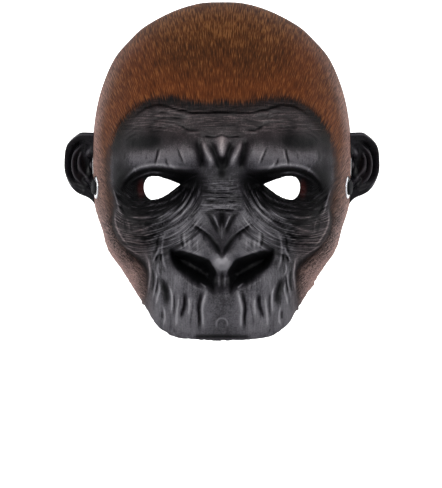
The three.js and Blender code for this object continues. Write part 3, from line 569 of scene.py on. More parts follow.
def even_steps(angles, rows=161):
    """For each direction from the pole, the shares of the way to the rim that part the surface's length
    evenly. The hair's length counts for a sixth, so the face gets finer cells."""
    share = np.linspace(0, 1, 401)
    a, s = np.meshgrid(angles, share, indexing="ij")
    rim_x, _, rim_z = rim_towards(a)
    x, z = rim_x * s, POLE + (rim_z - POLE) * s
    y, _ = plain_depth(x, z)
    weight = (1 - 0.84 * ease(hair_distance(np.abs(x), z), 0, 14))[:, 1:]
    step = np.sqrt(np.diff(x, axis=1) ** 2 + np.diff(y, axis=1) ** 2 + np.diff(z, axis=1) ** 2) * weight
    length = np.cumsum(np.column_stack([np.zeros(len(angles)), step]), axis=1)
    even = np.linspace(0, 1, rows)
    return np.array([np.interp(even, row / row[-1], share) for row in length])


def grid_places(cells, inset):
    """A square grid laid over the outline: square to disc by u = s * sqrt(1 - t^2 / 2), then out towards the
    rim in even steps along the surface. Five rows in twelve lie under the pole. The rim is trimmed a little
    unevenly by hand at the sides and the jaw."""
    low = cells * 5 // 12
    rows = np.r_[np.linspace(-1, 0, low + 1), np.linspace(0, 1, cells - low + 1)[1:]]
    t, s = np.meshgrid(rows, np.linspace(-1, 1, cells + 1), indexing="ij")
    u, v = s * np.sqrt(1 - t * t / 2), t * np.sqrt(1 - s * s / 2)
    radius = np.minimum(np.hypot(u, v), 1)
    angle = np.arctan2(np.abs(u), v)
    directions = 90
    table = even_steps(np.linspace(0, np.pi, directions + 1))
    i, j = angle / np.pi * directions, radius * (table.shape[1] - 1)
    k, m = np.minimum(i.astype(int), directions - 1), np.minimum(j.astype(int), table.shape[1] - 2)
    i, j = i - k, j - m
    share = (table[k, m] * (1 - j) + table[k, m + 1] * j) * (1 - i)
    share += (table[k + 1, m] * (1 - j) + table[k + 1, m + 1] * j) * i
    rim_x, _, rim_z = rim_towards(angle)
    far = np.hypot(rim_x, rim_z - POLE)
    turn = np.arctan2(u, v) * TRIM_SPREAD
    nicks = ease(noise(turn * 0.5, turn * 0 + 9, 22), 0.72, 0.95)
    trim = (0.3 * noise(turn, turn * 0, 21) + nicks) * ease(-v, -0.35, 0.1)
    share = share * (1 - inset / far) + share**60 * trim * (inset == 0) / far
    return (np.sign(u) * rim_x * share).ravel(), (POLE + (rim_z - POLE) * share).ravel()


def ring_of(cells):
    """Indices round the edge of a square grid."""
    side = cells + 1
    k = np.arange(cells)
    return np.r_[k, k * side + cells, cells * side + cells - k, (cells - k) * side]


def grid_faces(cells, start, flip=False):
    """Quads of a square grid whose points begin at the start."""
    side = cells + 1
    row, column = np.divmod(np.arange(cells * cells), cells)
    a = start + row * side + column
    faces = np.column_stack([a, a + 1, a + side + 1, a + side])
    return faces[:, ::-1] if flip else faces


def tube_faces(rings, around):
    """Quads between successive rings of points, and a fan of triangles over each end to one of the two points
    that follow the rings."""
    a, b = [g.ravel() for g in np.meshgrid(np.arange(rings - 1), np.arange(around), indexing="ij")]
    after = (b + 1) % around
    start, end = a * around, (a + 1) * around
    quads = np.column_stack([start + b, start + after, end + after, end + b])
    k = np.arange(around)
    m, last, tip = (k + 1) % around, (rings - 1) * around, np.full(around, rings * around)
    return quads, np.vstack([np.column_stack([tip, m, k]), np.column_stack([tip + 1, last + k, last + m])])


def shell_surface(sizes):
    """Points and faces of the closed shell: a fine outer grid, an inner grid a third as fine that stays the
    wall's thickness behind every outer point near it, and a strip round the cut rim."""
    fine = sizes.shell_cells // 36 * 36
    coarse = fine // 3
    wall = sizes.wall / MM
    x, z = grid_places(fine, 0)
    y = face_depth(x, z, sizes)
    a, c = grid_places(coarse, wall)
    b = face_depth(a, c, sizes) + wall
    for share, rise in ((0.65, 0.72), (1.05, 0.0)):
        for turn in np.linspace(0, 2 * np.pi, 10, endpoint=False):
            near = face_depth(a + wall * share * math.sin(turn), c + wall * share * math.cos(turn), sizes)
            b = np.maximum(b, near + rise * wall)
    points = np.column_stack([np.r_[x, a], np.r_[y, b], np.r_[z, c]])
    outer, inner = ring_of(fine), ring_of(coarse) + len(x)
    o = [outer[0::3], outer[1::3], outer[2::3], np.roll(outer[0::3], -1)]
    after = np.roll(inner, -1)
    corners = ((o[0], inner, o[1]), (o[1], inner, o[2]), (o[2], inner, after), (o[2], after, o[3]))
    strip = np.vstack([np.column_stack(three) for three in corners])
    quads = np.vstack([grid_faces(fine, 0), grid_faces(coarse, len(x), flip=True)])
    return points, quads, strip


def mesh_object(name, points, quads, tris=()):
    """A mesh object at the origin from points in millimetres, with smooth faces."""
    mesh = bpy.data.meshes.new(name)
    faces = [*map(tuple, np.asarray(quads).tolist()), *map(tuple, np.asarray(tris).tolist())]
    mesh.from_pydata((np.asarray(points) * MM).tolist(), [], faces)
    mesh.shade_smooth()
    piece = bpy.data.objects.new(name, mesh)
    bpy.context.scene.collection.objects.link(piece)
    return piece


def face_outwards(piece):
    """Merges coincident points and turns every face outwards."""
    mesh = piece.data
    work = bmesh.new()
    work.from_mesh(mesh)
    bmesh.ops.remove_doubles(work, verts=work.verts, dist=1e-6)
    bmesh.ops.recalc_face_normals(work, faces=work.faces)
    work.to_mesh(mesh)
    work.free()
    mesh.shade_smooth()


def places(piece):
    """The mesh's points in millimetres, as three arrays."""
    co = np.empty(len(piece.data.vertices) * 3, np.float32)
    piece.data.vertices.foreach_get("co", co)
    return (co.reshape(-1, 3) / MM).T.astype(float)


def give(piece, name, values):
    """Stores one number for each point for the material, or one vector."""
    values = np.ascontiguousarray(values, np.float32)
    kind, field = ("FLOAT", "value") if values.ndim == 1 else ("FLOAT_VECTOR", "vector")
    piece.data.attributes.new(name, kind, "POINT").data.foreach_set(field, values.ravel())


def combine(piece, operation, *others, sharp=62):
    """Cuts the others out of the piece, or joins them to it, and removes them."""
    for other in others:
        modifier = piece.modifiers.new("combine", "BOOLEAN")
        modifier.operation = operation
        modifier.solver = "MANIFOLD"
        modifier.object = other
    graph = bpy.context.evaluated_depsgraph_get()
    mesh = bpy.data.meshes.new_from_object(piece.evaluated_get(graph))
    piece.modifiers.clear()
    old, piece.data = piece.data, mesh
    bpy.data.meshes.remove(old)
    mesh.name = piece.name
    for other in others:
        bpy.data.meshes.remove(other.data)
    mesh.shade_smooth()
    mesh.set_sharp_from_angle(angle=math.radians(sharp))


def prism(name, x, z, low, high):
    """A closed straight prism along y over an outline in x and z."""
    x, z = [np.r_[each, each, each.mean(), each.mean()] for each in (x, z)]
    n = len(x) // 2 - 1
    y = np.r_[np.full(n, low), np.full(n, high), low, high]
    piece = mesh_object(name, np.column_stack([x, y, z]), *tube_faces(2, n))
    face_outwards(piece)
    return piece


def lathe(name, profile, turns, seat, along, hand, closed=True):
    """A profile of (radius, height) turned round the line through the seat: a ring from a closed profile,
    or a solid from an open one whose ends lie on the axis."""
    r, h = np.array(profile).T
    n = len(profile)
    axes = np.array(Vector(along).to_track_quat("Z", "Y").to_matrix())
    angle = np.linspace(0, 2 * np.pi, turns, endpoint=False)[:, None]
    local = np.stack([r * np.cos(angle), r * np.sin(angle), h + 0 * angle], axis=-1).reshape(-1, 3)
    points = (local @ axes.T + np.asarray(seat)) * [hand, 1, 1]
    spans = n if closed else n - 1
    a, b = [g.ravel() for g in np.meshgrid(np.arange(turns), np.arange(spans), indexing="ij")]
    c, d = (a + 1) % turns, (b + 1) % n
    quads = np.column_stack([a * n + b, c * n + b, c * n + d, a * n + d])
    if hand < 0:
        quads = quads[:, ::-1]
    piece = mesh_object(name, points, quads)
    face_outwards(piece)
    return piece


def side_seat(back, z):
    """Where the plain side wall lies the given distance back at height z, and which way it faces there."""
    near, far = 0.5 * HALF_WIDTH, float(rim_towards(np.arctan2(HALF_WIDTH, z - POLE))[0])
    for _ in range(40):
        middle = (near + far) / 2
        in_front = plain_depth(np.array(middle), np.array(z))[0] < back
        near, far = (middle, far) if in_front else (near, middle)
    spots = np.array([near, near - 1.5, near, near]), np.array([z, z, z + 1.5, z - 1.5])
    p = np.column_stack([spots[0], plain_depth(*spots)[0], spots[1]])
    normal = np.cross(p[1] - p[0], p[2] - p[3])
    normal /= np.linalg.norm(normal)
    return p[0], normal * np.sign(normal[0])


def eye_cutter(hand, sizes):
    """An eye hole's prism: pointed at the inner corner, round at the outer end, with a slightly ragged edge.
    Half its height goes as t^0.95 * sqrt(1 - t^3.2) along its width."""
    turn = np.linspace(0, 2 * np.pi, 96, endpoint=False)
    share = (1 - np.cos(turn)) / 2
    half = share**0.95 * np.sqrt(1 - share**3.2) * EYE_PEAK * sizes.eye_high / MM / 2
    ragged = 1 + 0.03 * noise(turn * 5, turn * 0 + 3, 31) + 0.025 * noise(turn * 13, turn * 0 + 5, 32)
    across, up = (share - 0.5) * sizes.eye_wide / MM, np.sign(np.sin(turn)) * half * ragged
    c, s = math.cos(math.radians(EYE_TILT)), math.sin(math.radians(EYE_TILT))
    x, z = across * c + up * s + EYE_ACROSS, up * c - across * s + EYE_UP
    return prism("eye_cutter", hand * x, z, CUT_FRONT, CUT_BACK)


def bore_cutter(hand):
    """The hole through the wall for an eyelet's barrel."""
    radius = BORE_RADIUS + BARREL_WALL + BORE_GAP
    profile = [(0, -BORE_REACH), (radius, -BORE_REACH), (radius, BORE_REACH), (0, BORE_REACH)]
    return lathe("bore_cutter", profile, 48, *side_seat(EYELET_BACK, 0), hand, closed=False)


def make_shell(sizes):
    """The shell with its holes cut, and at each point what its paint depends on."""
    shell = mesh_object("mask_skin", *shell_surface(sizes))
    combine(shell, "DIFFERENCE", eye_cutter(1, sizes), eye_cutter(-1, sizes), bore_cutter(1), bore_cutter(-1))
    x, y, z = places(shell)
    side = np.abs(x)
    parts = face_parts(x, z, sizes)
    depth, share = plain_depth(x, z)
    depth = depth - parts["forward"] * (1 - share**FORM_FADE)
    edge = parts["edge"]
    # Painted shade: the hair darkens in a valley along the bare face's edge, wider on the jaw.
    valley_shade = np.exp(-(((edge - 1.5) / (2.6 + 3 * ease(-z, -10, 20))) ** 2)) * ease(40 - z, 0, 20)
    # Painted highlight: the hair is lighter in a band along the rim, fading out over the crown.
    rim = ease(share, 0.94, 0.995) * ease(90 - z, -20, 60)
    # Pinkish hair on the jaw and along the side rims, with a thin pinkish band at the crown's edge; along the
    # rims it is partly a painted reflection of the pale surroundings.
    pink_rim_and_jaw = ease(share, 0.9 - 0.1 * ease(-z, -40, 0), 0.99) * ease(90 - z, -40, 50) + ease(-z, 5, 45) * 0.7
    outer_corner = np.exp(-(((side - 60) / 4) ** 2) - ((z + 2) / 9) ** 2)
    fields = {
        "tone": parts["tone"],
        "edge": edge,
        "tuft": 2 + 9 * ease(z, 20, 46),
        "fringe": parts["fringe"],
        "inside": ease(y - depth, 0.7, 1.5),
        # The hair's level: its own light and dark areas, less the painted shade in the valley, plus the
        # painted highlight along the rim.
        "glow": blobs(HAIR_TONES, side, z) - 0.6 * valley_shade + 0.45 * rim,
        "pink": np.minimum(pink_rim_and_jaw + 0.5 * ease(share, 0.984, 1) * ease(z, 60, 100), 1.3),
        "rust": np.exp(-(((edge - 6) / 18) ** 2)) * ease(z, 0, 50) + blobs(RUST, side, z),
        "warm": ease(z, 12, 50) * 0.9 + ease(-z, 5, 30) * ease(side, 48, 60) * 0.7,
        "red": outer_corner * (1 - parts["hair"]),
        "strand": np.column_stack([*strand_place(x, y, z), 0 * x]),
    }
    for name, (weight, across, along) in flows(x, z).items():
        fields[name] = np.column_stack([across, along, 0 * x])
        fields[name + " share"] = weight * ease(-edge, 1, 4)
    for name, values in fields.items():
        give(shell, name, values)
    return shell


def head_block():
    """The head's volume as the ears meet it: the plain shell a hair larger, and straight back from there."""
    cells = 120
    x, z = grid_places(cells, 0)
    y, _ = plain_depth(x, z)
    rim = np.hypot(x, z - POLE)
    grow = 1 + SEAT_GAP / np.maximum(rim, 30)
    x, z = x * grow, POLE + (z - POLE) * grow
    points = np.vstack([np.column_stack([x, y, z]), np.column_stack([x, np.full(len(x), HEAD_BACK), z])])
    ring = ring_of(cells)
    after = np.roll(ring, -1)
    wall = np.column_stack([ring, ring + len(x), after + len(x), after])
    quads = np.vstack([grid_faces(cells, 0), grid_faces(cells, len(x), flip=True), wall])
    return mesh_object("head_block", points, quads)


def ear_height(out, up):
    """How far an ear's front stands out of its plane, and its tone."""
    lines, shade = strokes(EAR_STROKES, out, up)
    ridges, light = strokes(EAR_LINES, out, up)
    grain = noise(out * 0.35 + 40, up * 0.3 + 40, 41)
    # The tone: painted highlights along the thin ridge lines, broad ridges lighter and grooves darker as
    # painted light and shade, and the places above.
    tone = 0.1 + 0.12 * shade + 0.6 * light + blobs(EAR_TONES, out, up) + 0.03 * grain
    return blobs(EAR_FORMS, out, up) + lines + 0.4 * ridges + 0.15 * grain, tone


def ear_surface(sizes):
    """Rings between the ear's middle and its outline: the front from its forms, a rolled edge, and a back
    that follows the front's broad forms one ear's thickness behind."""
    loop = smooth_path([*EAR_OUTLINE, EAR_OUTLINE[0]], 8)[:-1]
    roll = np.linspace(0, np.pi, 13)[1:-1]
    front_rings, back_rings = 46, 18
    share = np.r_[np.linspace(0.02, 0.93, front_rings), 0.93 + 0.07 * np.sin(roll),
                  np.linspace(0.93, 0.02, back_rings)][:, None]
    drop = np.r_[np.zeros(front_rings), 0.5 * (1 - np.cos(roll)), np.ones(back_rings)][:, None]
    out, up = np.moveaxis(EAR_MIDDLE + (loop - EAR_MIDDLE) * share[..., None], 2, 0)
    front, _ = ear_height(out, up)
    back = 0.85 * blobs(EAR_FORMS, out, up) - sizes.ear_thick / MM * (1 - 0.25 * ease(share, 0.86, 0.96))
    height = front * (1 - drop) + back * drop
    c, s = math.cos(sizes.ear_swing), math.sin(sizes.ear_swing)
    points = np.stack([EAR_ROOT + out * c + height * s, EAR_BACK + out * s - height * c, up], axis=-1)
    points = np.vstack([points.reshape(-1, 3), points[0].mean(axis=0), points[-1].mean(axis=0)])
    return points, *tube_faces(len(share), len(loop))


def make_ear(name, hand, sizes):
    """An ear cut off where it meets the head, with the tone of its front, and a plain one behind."""
    points, quads, caps = ear_surface(sizes)
    ear = mesh_object(name, points * [hand, 1, 1], quads, caps)
    face_outwards(ear)
    combine(ear, "DIFFERENCE", head_block())
    x, y, z = places(ear)
    x, y, c, s = x * hand - EAR_ROOT, y - EAR_BACK, math.cos(sizes.ear_swing), math.sin(sizes.ear_swing)
    front, tone = ear_height(x * c + y * s, z)
    give(ear, "tone", np.where(x * s - y * c > front - 1.5, tone, BACK_TONE))
    return ear


def make_eyelet(name, hand, sizes):
    """A flanged ring that clamps the wall from both sides, its rims rounded."""
    outer, inner = SEAT_GAP, -sizes.wall / MM - SEAT_GAP - CURVE_GAP
    barrel = BORE_RADIUS + BARREL_WALL
    profile = [(barrel, inner), (barrel, outer)]
    for radius, height, way in ((FLANGE_RADIUS, outer, 1), (ROLLED_RADIUS, inner, -1)):
        middle, half = (radius + BORE_RADIUS) / 2, (radius - BORE_RADIUS) / 2
        profile += [(middle + way * half * math.cos(t), height + way * FLANGE_THICK * math.sin(t) ** 0.8)
                    for t in np.linspace(0, np.pi, 9)]
    return lathe(name, profile, 64, *side_seat(EYELET_BACK, 0), hand)


def strap_line(wall):
    """The band's middle line, from the eyelet at +x round the back of the head to the other."""
    seat, along = side_seat(EYELET_BACK, 0)
    end = seat - along * (wall + STRAP_INSET)
    side = [
        end,
        (end[0] - 0.02 * STRAP_SPREAD, CROWN_BACK, 0.12 * STRAP_RISE),
        (STRAP_SPREAD, 0.48 * STRAP_BACK, 0.42 * STRAP_RISE),
        (0.68 * STRAP_SPREAD, 0.85 * STRAP_BACK, 0.84 * STRAP_RISE),
        (0, STRAP_BACK, STRAP_RISE),
    ]
    other = [(-x, y, z) for x, y, z in side[-2::-1]]
    return smooth_path([*side, *other], steps=46, power=0.5)


def make_strap(sizes):
    """A flat woven band: a rounded oblong section with shallow ribs carried along the line, its width
    square to the line and upright, joined at each end to a round plug with a low knot."""
    line = strap_line(sizes.wall / MM)
    wide, thick = sizes.strap_wide / MM / 2, sizes.strap_thick / MM / 2
    along = np.gradient(line, axis=0)
    along /= np.linalg.norm(along, axis=1)[:, None]
    outward = np.cross([0, 0, 1], along)
    outward /= np.linalg.norm(outward, axis=1)[:, None]
    upward = np.cross(along, outward)
    turn = np.linspace(0, 2 * np.pi, 72, endpoint=False)
    u = wide * np.sign(np.cos(turn)) * np.abs(np.cos(turn)) ** 0.55
    v = thick * np.sign(np.sin(turn)) * np.abs(np.sin(turn)) ** 0.35
    ribs = 0.5 + 0.5 * np.cos(u * 2 * np.pi / RIB_PITCH)
    v = v * (1 - RIB_DEPTH * ribs * (np.abs(u) < wide - 1))
    points = (line[:, None] + upward[:, None] * u[:, None] + outward[:, None] * v[:, None]).reshape(-1, 3)
    points = np.vstack([points, line[0], line[-1]])
    strap = mesh_object("elastic_strap", points, *tube_faces(len(line), len(turn)))
    face_outwards(strap)
    foot, shoulder = -(sizes.wall / MM + STRAP_INSET), 2 * SEAT_GAP + FLANGE_THICK
    plug = BORE_RADIUS - BORE_GAP
    dome = [(KNOT_RADIUS * math.cos(t) ** 0.7, shoulder + 0.5 + (KNOT_HIGH - 0.5) * math.sin(t))
            for t in np.linspace(0, 1.5, 9)]
    profile = [(0, foot), (plug, foot), (plug, shoulder), (KNOT_RADIUS - 0.5, shoulder), *dome,
               (0, shoulder + KNOT_HIGH)]
    seat = side_seat(EYELET_BACK, 0)
    plugs = [lathe("plug", profile, 48, *seat, hand, closed=False) for hand in (1, -1)]
    combine(strap, "UNION", *plugs, sharp=50)
    spots, every = places(strap).T, 6
    near = np.argmin(((spots[:, None] - line[None, ::every]) ** 2).sum(axis=2), axis=1) * every
    length = np.r_[0, np.cumsum(np.linalg.norm(np.diff(line, axis=0), axis=1))][near]
    offset = spots - line[near]
    run, rise = (offset * along[near]).sum(axis=1), (offset * upward[near]).sum(axis=1)
    give(strap, "weave", np.column_stack([length + run, rise, 0 * rise]))
    return strap


class Wire:
    """A socket of a material's nodes. Sums, differences and products of wires add Math nodes."""

    def __init__(self, paint, socket):
        self.paint, self.socket = paint, socket

    def math(self, operation, a, b):
        return self.paint.node("ShaderNodeMath", {"operation": operation}, {0: a, 1: b})

    def __add__(self, other):
        return self.math("ADD", self, other)

    __radd__ = __add__

    def __sub__(self, other):
        return self.math("SUBTRACT", self, other)

    def __rsub__(self, other):
        return self.math("SUBTRACT", other, self)

    def __mul__(self, other):
        return self.math("MULTIPLY", self, other)

    def between(self, low, high):
        """0 up to low, 1 from high, smooth between."""
        settings = {"interpolation_type": "SMOOTHSTEP"}
        inputs = {"Value": self, "From Min": low, "From Max": high}
        return self.paint.node("ShaderNodeMapRange", settings, inputs)


class Paint:
    """A material under construction."""

    def __init__(self, name):
        self.material = bpy.data.materials.new(name)
        self.material.use_nodes = True
        self.tree = self.material.node_tree
        self.shader = next(n for n in self.tree.nodes if n.type == "BSDF_PRINCIPLED")

    def node(self, kind, settings=None, inputs=None, output=0):
        """Adds a node: its settings first, then the values or wires of its sockets. A ramp's stops are
        positions and colours."""
        made = self.tree.nodes.new(kind)
        for key, value in (settings or {}).items():
            if key == "stops":
                ramp = made.color_ramp.elements
                while len(ramp) < len(value):
                    ramp.new(0.5)
                for stop, (place, colour) in zip(ramp, value):
                    stop.position, stop.color = place, (*colour, 1)
            else:
                setattr(made, key, value)
        for key, value in (inputs or {}).items():
            self.plug(made.inputs[key], value)
        return Wire(self, made.outputs[output])

    def plug(self, socket, value):
        if isinstance(value, Wire):
            self.tree.links.new(value.socket, socket)
        else:
            socket.default_value = (*value, 1) if socket.type == "RGBA" else value

    def mix(self, factor, a, b, kind="MIX"):
        """Colour a at factor 0, and at 1 colour b, or with MULTIPLY their product."""
        settings = {"data_type": "RGBA", "blend_type": kind}
        return self.node("ShaderNodeMix", settings, {0: factor, 6: a, 7: b}, 2)

    def tint(self, colour, amount):
        """A colour times a number."""
        grey = self.node("ShaderNodeCombineXYZ", {}, {0: amount, 1: amount, 2: amount})
        return self.mix(1.0, colour, grey, "MULTIPLY")

    def ramp(self, value, *stops):
        """The colour at the value, blended between stops of a position and a colour."""
        return self.node("ShaderNodeValToRGB", {"stops": stops}, {0: value})

    def wave(self, value):
        """A sine of the value, from 0 to 1."""
        return self.node("ShaderNodeMath", {"operation": "SINE"}, {0: value}) * 0.5 + 0.5

    def stored(self, name, vector=False):
        return self.node("ShaderNodeAttribute", {"attribute_name": name}, {}, 1 if vector else 2)

    def noise(self, vector, scale, detail=2.0, roughness=0.5, stretch=(1, 1, 1)):
        """A noise from about 0.2 to 0.8 over the vector, stretched along its axes."""
        placed = self.node("ShaderNodeMapping", {}, {"Vector": vector, "Scale": stretch})
        inputs = {"Vector": placed, "Scale": scale, "Detail": detail, "Roughness": roughness}
        return self.node("ShaderNodeTexNoise", {}, inputs)

    def place(self):
        return self.node("ShaderNodeTexCoord", {}, {}, 3)

    def bump(self, height, strength, distance):
        return self.node("ShaderNodeBump", {}, {"Height": height, "Strength": strength, "Distance": distance})

    def finish(self, **sockets):
        """Fills the shader's sockets, an underscore for a space."""
        for name, value in sockets.items():
            self.plug(self.shader.inputs[name.replace("_", " ")], value)
        return self.material


def linear(*levels):
    """A display colour of 0 to 255 as the shader's linear colour."""
    return tuple(
        c / 12.92 if c <= 0.04045 else ((c + 0.055) / 1.055) ** 2.4 for c in (level / 255 for level in levels)
    )


def latex_paint(colours):
    """Painted latex: the face's tones and fine creases, partly painted shade and highlights, the hair's brown
    strands with painted shade at the face's edge and a painted reflection along the rims, and the plain
    inside.
    """
    paint = Paint("face_latex")
    where = paint.place()
    skin = paint.noise(where, 900, 3, 0.6)
    pores = paint.noise(where, 2200, 2, 0.5)
    blotch = paint.noise(where, 120, 3, 0.6)
    lines = 0
    # Fine threads along the folds' directions: they mark the creases darker, partly as painted shade, and
    # also feed the bump.
    for name in ("level", "rings", "upright"):
        thread = paint.noise(paint.stored(name, True), 1.0, 2, 0.6, (1.2, 0.075, 1))
        lines = (thread - 0.5 + thread.between(0.56, 0.68) * 0.25) * paint.stored(name + " share") + lines
    plain, fringe, inside = [paint.stored(name) for name in ("tone", "fringe", "inside")]
    strand = paint.stored("strand", True)
    fine = paint.noise(strand, 1.0, 2, 0.6, (1.9, 0.12, 1))
    hang = (fine - 0.5) * fringe * 0.9
    tone = plain + (skin - 0.5) * 0.6 + (blotch - 0.5) * 0.2 + (pores - 0.5) * 0.2 + lines + hang
    face = paint.ramp(tone, (0.0, linear(4, 4, 6)), (0.35, colours.face_dark), (0.6, colours.face_mid),
                      (0.85, colours.face_light), (1.0, linear(140, 138, 142)))
    face = paint.mix(paint.stored("warm"), face, (1.14, 0.86, 0.76), "MULTIPLY")
    face = paint.mix(paint.stored("red").between(0.3, 1.0) * 0.7, face, linear(60, 18, 16))

    hair = (paint.stored("edge") + (fine - 0.5) * paint.stored("tuft")).between(-2.6, 3.6)
    broad = paint.noise(strand, 1.0, 2, 0.5, (0.1, 0.07, 1))
    speck = paint.noise(strand, 1.0, 2, 0.7, (0.8, 0.6, 1))
    streak = (fine - 0.5) * 3.3 + (broad - 0.5) * 0.5 + 0.5
    pink = paint.stored("pink")
    # The stored level brings the hair's painted shade and rim highlight along.
    level = streak + paint.stored("glow") + (speck - 0.5) * 2.4 * pink
    brown = paint.ramp(level, (0.0, colours.hair_dark), (0.5, colours.hair_mid), (1.0, colours.hair_light))
    brown = paint.mix(paint.stored("rust") * 0.5, brown, paint.tint(colours.hair_rust, level * 0.8 + 0.6))
    # Pinkish hair on the jaw, and along the rims a painted reflection.
    brown = paint.mix(pink * 0.65, brown, paint.tint(colours.hair_side, level * 0.9 + 0.35))
    rooted = streak.between(0.35, 0.75) * fringe
    outside = paint.mix(hair, paint.mix(rooted * 0.35, face, colours.hair_dark), brown)
    plain_inside = paint.tint(colours.inside, paint.noise(where, 60, 4, 0.6) * 0.5 + 0.7)
    whole = paint.mix(inside, outside, plain_inside)
    relief = (skin * 0.7 + pores * 0.3 + lines * 2.4) * (1 - hair) + (fine * 1.1 + speck * 0.3) * hair
    normal = paint.node("ShaderNodeNewGeometry", {}, {}, 1)
    bare = (paint.node("ShaderNodeSeparateXYZ", {}, {0: normal}, 1) * -1).between(0.35, 0.85) * (1 - hair)
    sheen = bare * (1 - fringe) * (1 - inside) * plain.between(-0.2, 0.4)
    return paint.finish(Base_Color=whole, Roughness=0.76 - bare * 0.3 + (skin - 0.5) * 0.2,
                        Specular_IOR_Level=0.12, Coat_Weight=sheen * 0.35, Coat_Roughness=0.36,
                        Normal=paint.bump(relief, 0.7, 0.0006))


def ear_paint(colours):
    """Black latex with a soft gloss, its ridges lighter as painted highlights."""
    paint = Paint("ear_latex")
    where = paint.place()
    skin = paint.noise(where, 700, 3, 0.6)
    tone = paint.stored("tone") + (skin - 0.5) * 0.1
    colour = paint.ramp(tone, (0.0, linear(4, 4, 6)), (0.2, colours.ear), (0.5, linear(66, 64, 68)),
                        (1.0, linear(120, 118, 122)))
    return paint.finish(Base_Color=colour, Roughness=0.3 + (skin - 0.5) * 0.25, Specular_IOR_Level=0.14,
                        Normal=paint.bump(skin, 0.5, 0.0004))


def metal_paint(colours):
    """Plated metal with faint turned marks and a little dirt."""
    paint = Paint("eyelet_metal")
    where = paint.place()
    marks = paint.noise(where, 1500, 2, 0.6)
    dirt = paint.noise(where, 260, 3, 0.6).between(0.55, 0.8)
    colour = paint.mix(dirt * 0.5, colours.metal, linear(60, 58, 58))
    return paint.finish(Base_Color=colour, Metallic=1.0, Roughness=0.16 + marks * 0.12 + dirt * 0.2)


def elastic_paint(colours):
    """Woven elastic: ribs along the band crossed by fine rows of weft."""
    paint = Paint("strap_elastic")
    weave = paint.stored("weave", True)
    along, across = [paint.node("ShaderNodeSeparateXYZ", {}, {0: weave}, k) for k in (0, 1)]
    cloth = paint.wave(along * 7.0) * paint.wave(across * 8.4)
    fuzz = paint.noise(weave, 3.0, 3, 0.7)
    colour = paint.tint(colours.strap, 0.55 + cloth * 0.7 + (fuzz - 0.5) * 0.6)
    return paint.finish(Base_Color=colour, Roughness=0.8 + (fuzz - 0.5) * 0.2, Specular_IOR_Level=0.3,
                        Normal=paint.bump(cloth + fuzz * 0.3, 0.8, 0.0003))


def dress(piece, material, node):
    """Gives a piece its finish, and puts it on the body in its solid's place."""
    piece.data.materials.clear()
    piece.data.materials.append(material)
    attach(piece, "root")
    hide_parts(node)


def length_property(name, description, default):
    return FloatProperty(name=name, description=description, default=default, unit="LENGTH")


def colour_property(name, description, level):
    return FloatVectorProperty(name=name, description=description, default=linear(*level), subtype="COLOR",
                               size=3, min=0, max=1)


class MaskSizes(bpy.types.PropertyGroup):
    wall: length_property("Wall", "Thickness of the latex", 0.0022)
    shell_cells: IntProperty(name="Cells", description="Cells across the shell's outer surface", default=288,
                             min=72, max=300)
    crease: FloatProperty(name="Crease depth", description="Depth of the fine folds, as a share of the usual",
                          default=1.3, subtype="FACTOR")
    hair_step: length_property("Hair step", "How far the hair stands above the bare face", 0.0012)
    eye_wide: length_property("Eye hole width", "Width of an eye hole", 0.0272)
    eye_high: length_property("Eye hole height", "Height of an eye hole", 0.0174)
    ear_thick: length_property("Ear thickness", "Thickness of an ear", 0.0045)
    ear_swing: FloatProperty(name="Ear swing", description="How far an ear sweeps back from straight out",
                             default=math.radians(33), subtype="ANGLE")
    strap_wide: length_property("Strap width", "Width of the elastic", 0.012)
    strap_thick: length_property("Strap thickness", "Thickness of the elastic", 0.0016)


class MaskColours(bpy.types.PropertyGroup):
    face_dark: colour_property("Face, dark", "Plain parts of the face", (42, 40, 44))
    face_mid: colour_property("Face, middle", "Raised parts of the face", (86, 84, 89))
    face_light: colour_property("Face, light", "Rubbed ridges of the face", (110, 108, 112))
    hair_dark: colour_property("Hair, dark", "Gaps between the strands", (46, 24, 9))
    hair_mid: colour_property("Hair, middle", "Most of the hair", (76, 41, 16))
    hair_light: colour_property("Hair, light", "Lightest strands", (126, 80, 44))
    hair_rust: colour_property("Hair, reddish", "Hair over the forehead and high on the sides", (98, 46, 16))
    # Pinkish hair at the jaw, also the colour of the painted reflection along the rims.
    hair_side: colour_property("Hair, sides", "Thin pinkish hair at the sides", (150, 123, 118))
    inside: colour_property("Inside", "The unpainted inside", (92, 78, 68))
    ear: colour_property("Ears", "Smooth parts of the ears", (25, 23, 27))
    metal: colour_property("Eyelets", "Plated metal", (226, 226, 228))
    strap: colour_property("Strap", "Woven elastic", (34, 34, 37))


class StudioSettings(bpy.types.PropertyGroup):
    key: FloatProperty(name="Side lights", description="Power of the soft side lights", default=26.0,
                       unit="POWER")
    fill: FloatProperty(name="Top light", description="Power of the soft light above", default=13.0,
                        unit="POWER")
    floor: colour_property("Floor", "The pale floor and backdrop", (250, 250, 250))
    floor_height: length_property("Floor height", "Height of the floor", -0.30)


class MASK_OT_shell(bpy.types.Operator):
    """Builds the painted latex shell in the place of its solid"""

    bl_idname = "mask.shell"
    bl_label = "Latex shell"

    def execute(self, context):
        scene = context.scene
        dress(make_shell(scene.mask_sizes), latex_paint(scene.mask_colours), "mask_shell")
        return {"FINISHED"}


class MASK_OT_ears(bpy.types.Operator):
    """Builds both ears"""

    bl_idname = "mask.ears"
    bl_label = "Ears"

    def execute(self, context):
        scene = context.scene
        material = ear_paint(scene.mask_colours)
        for side, hand in (("left", -1), ("right", 1)):
            ear = make_ear(f"latex_ear_{side}", hand, scene.mask_sizes)
            dress(ear, material, f"ear_{side}")
        return {"FINISHED"}


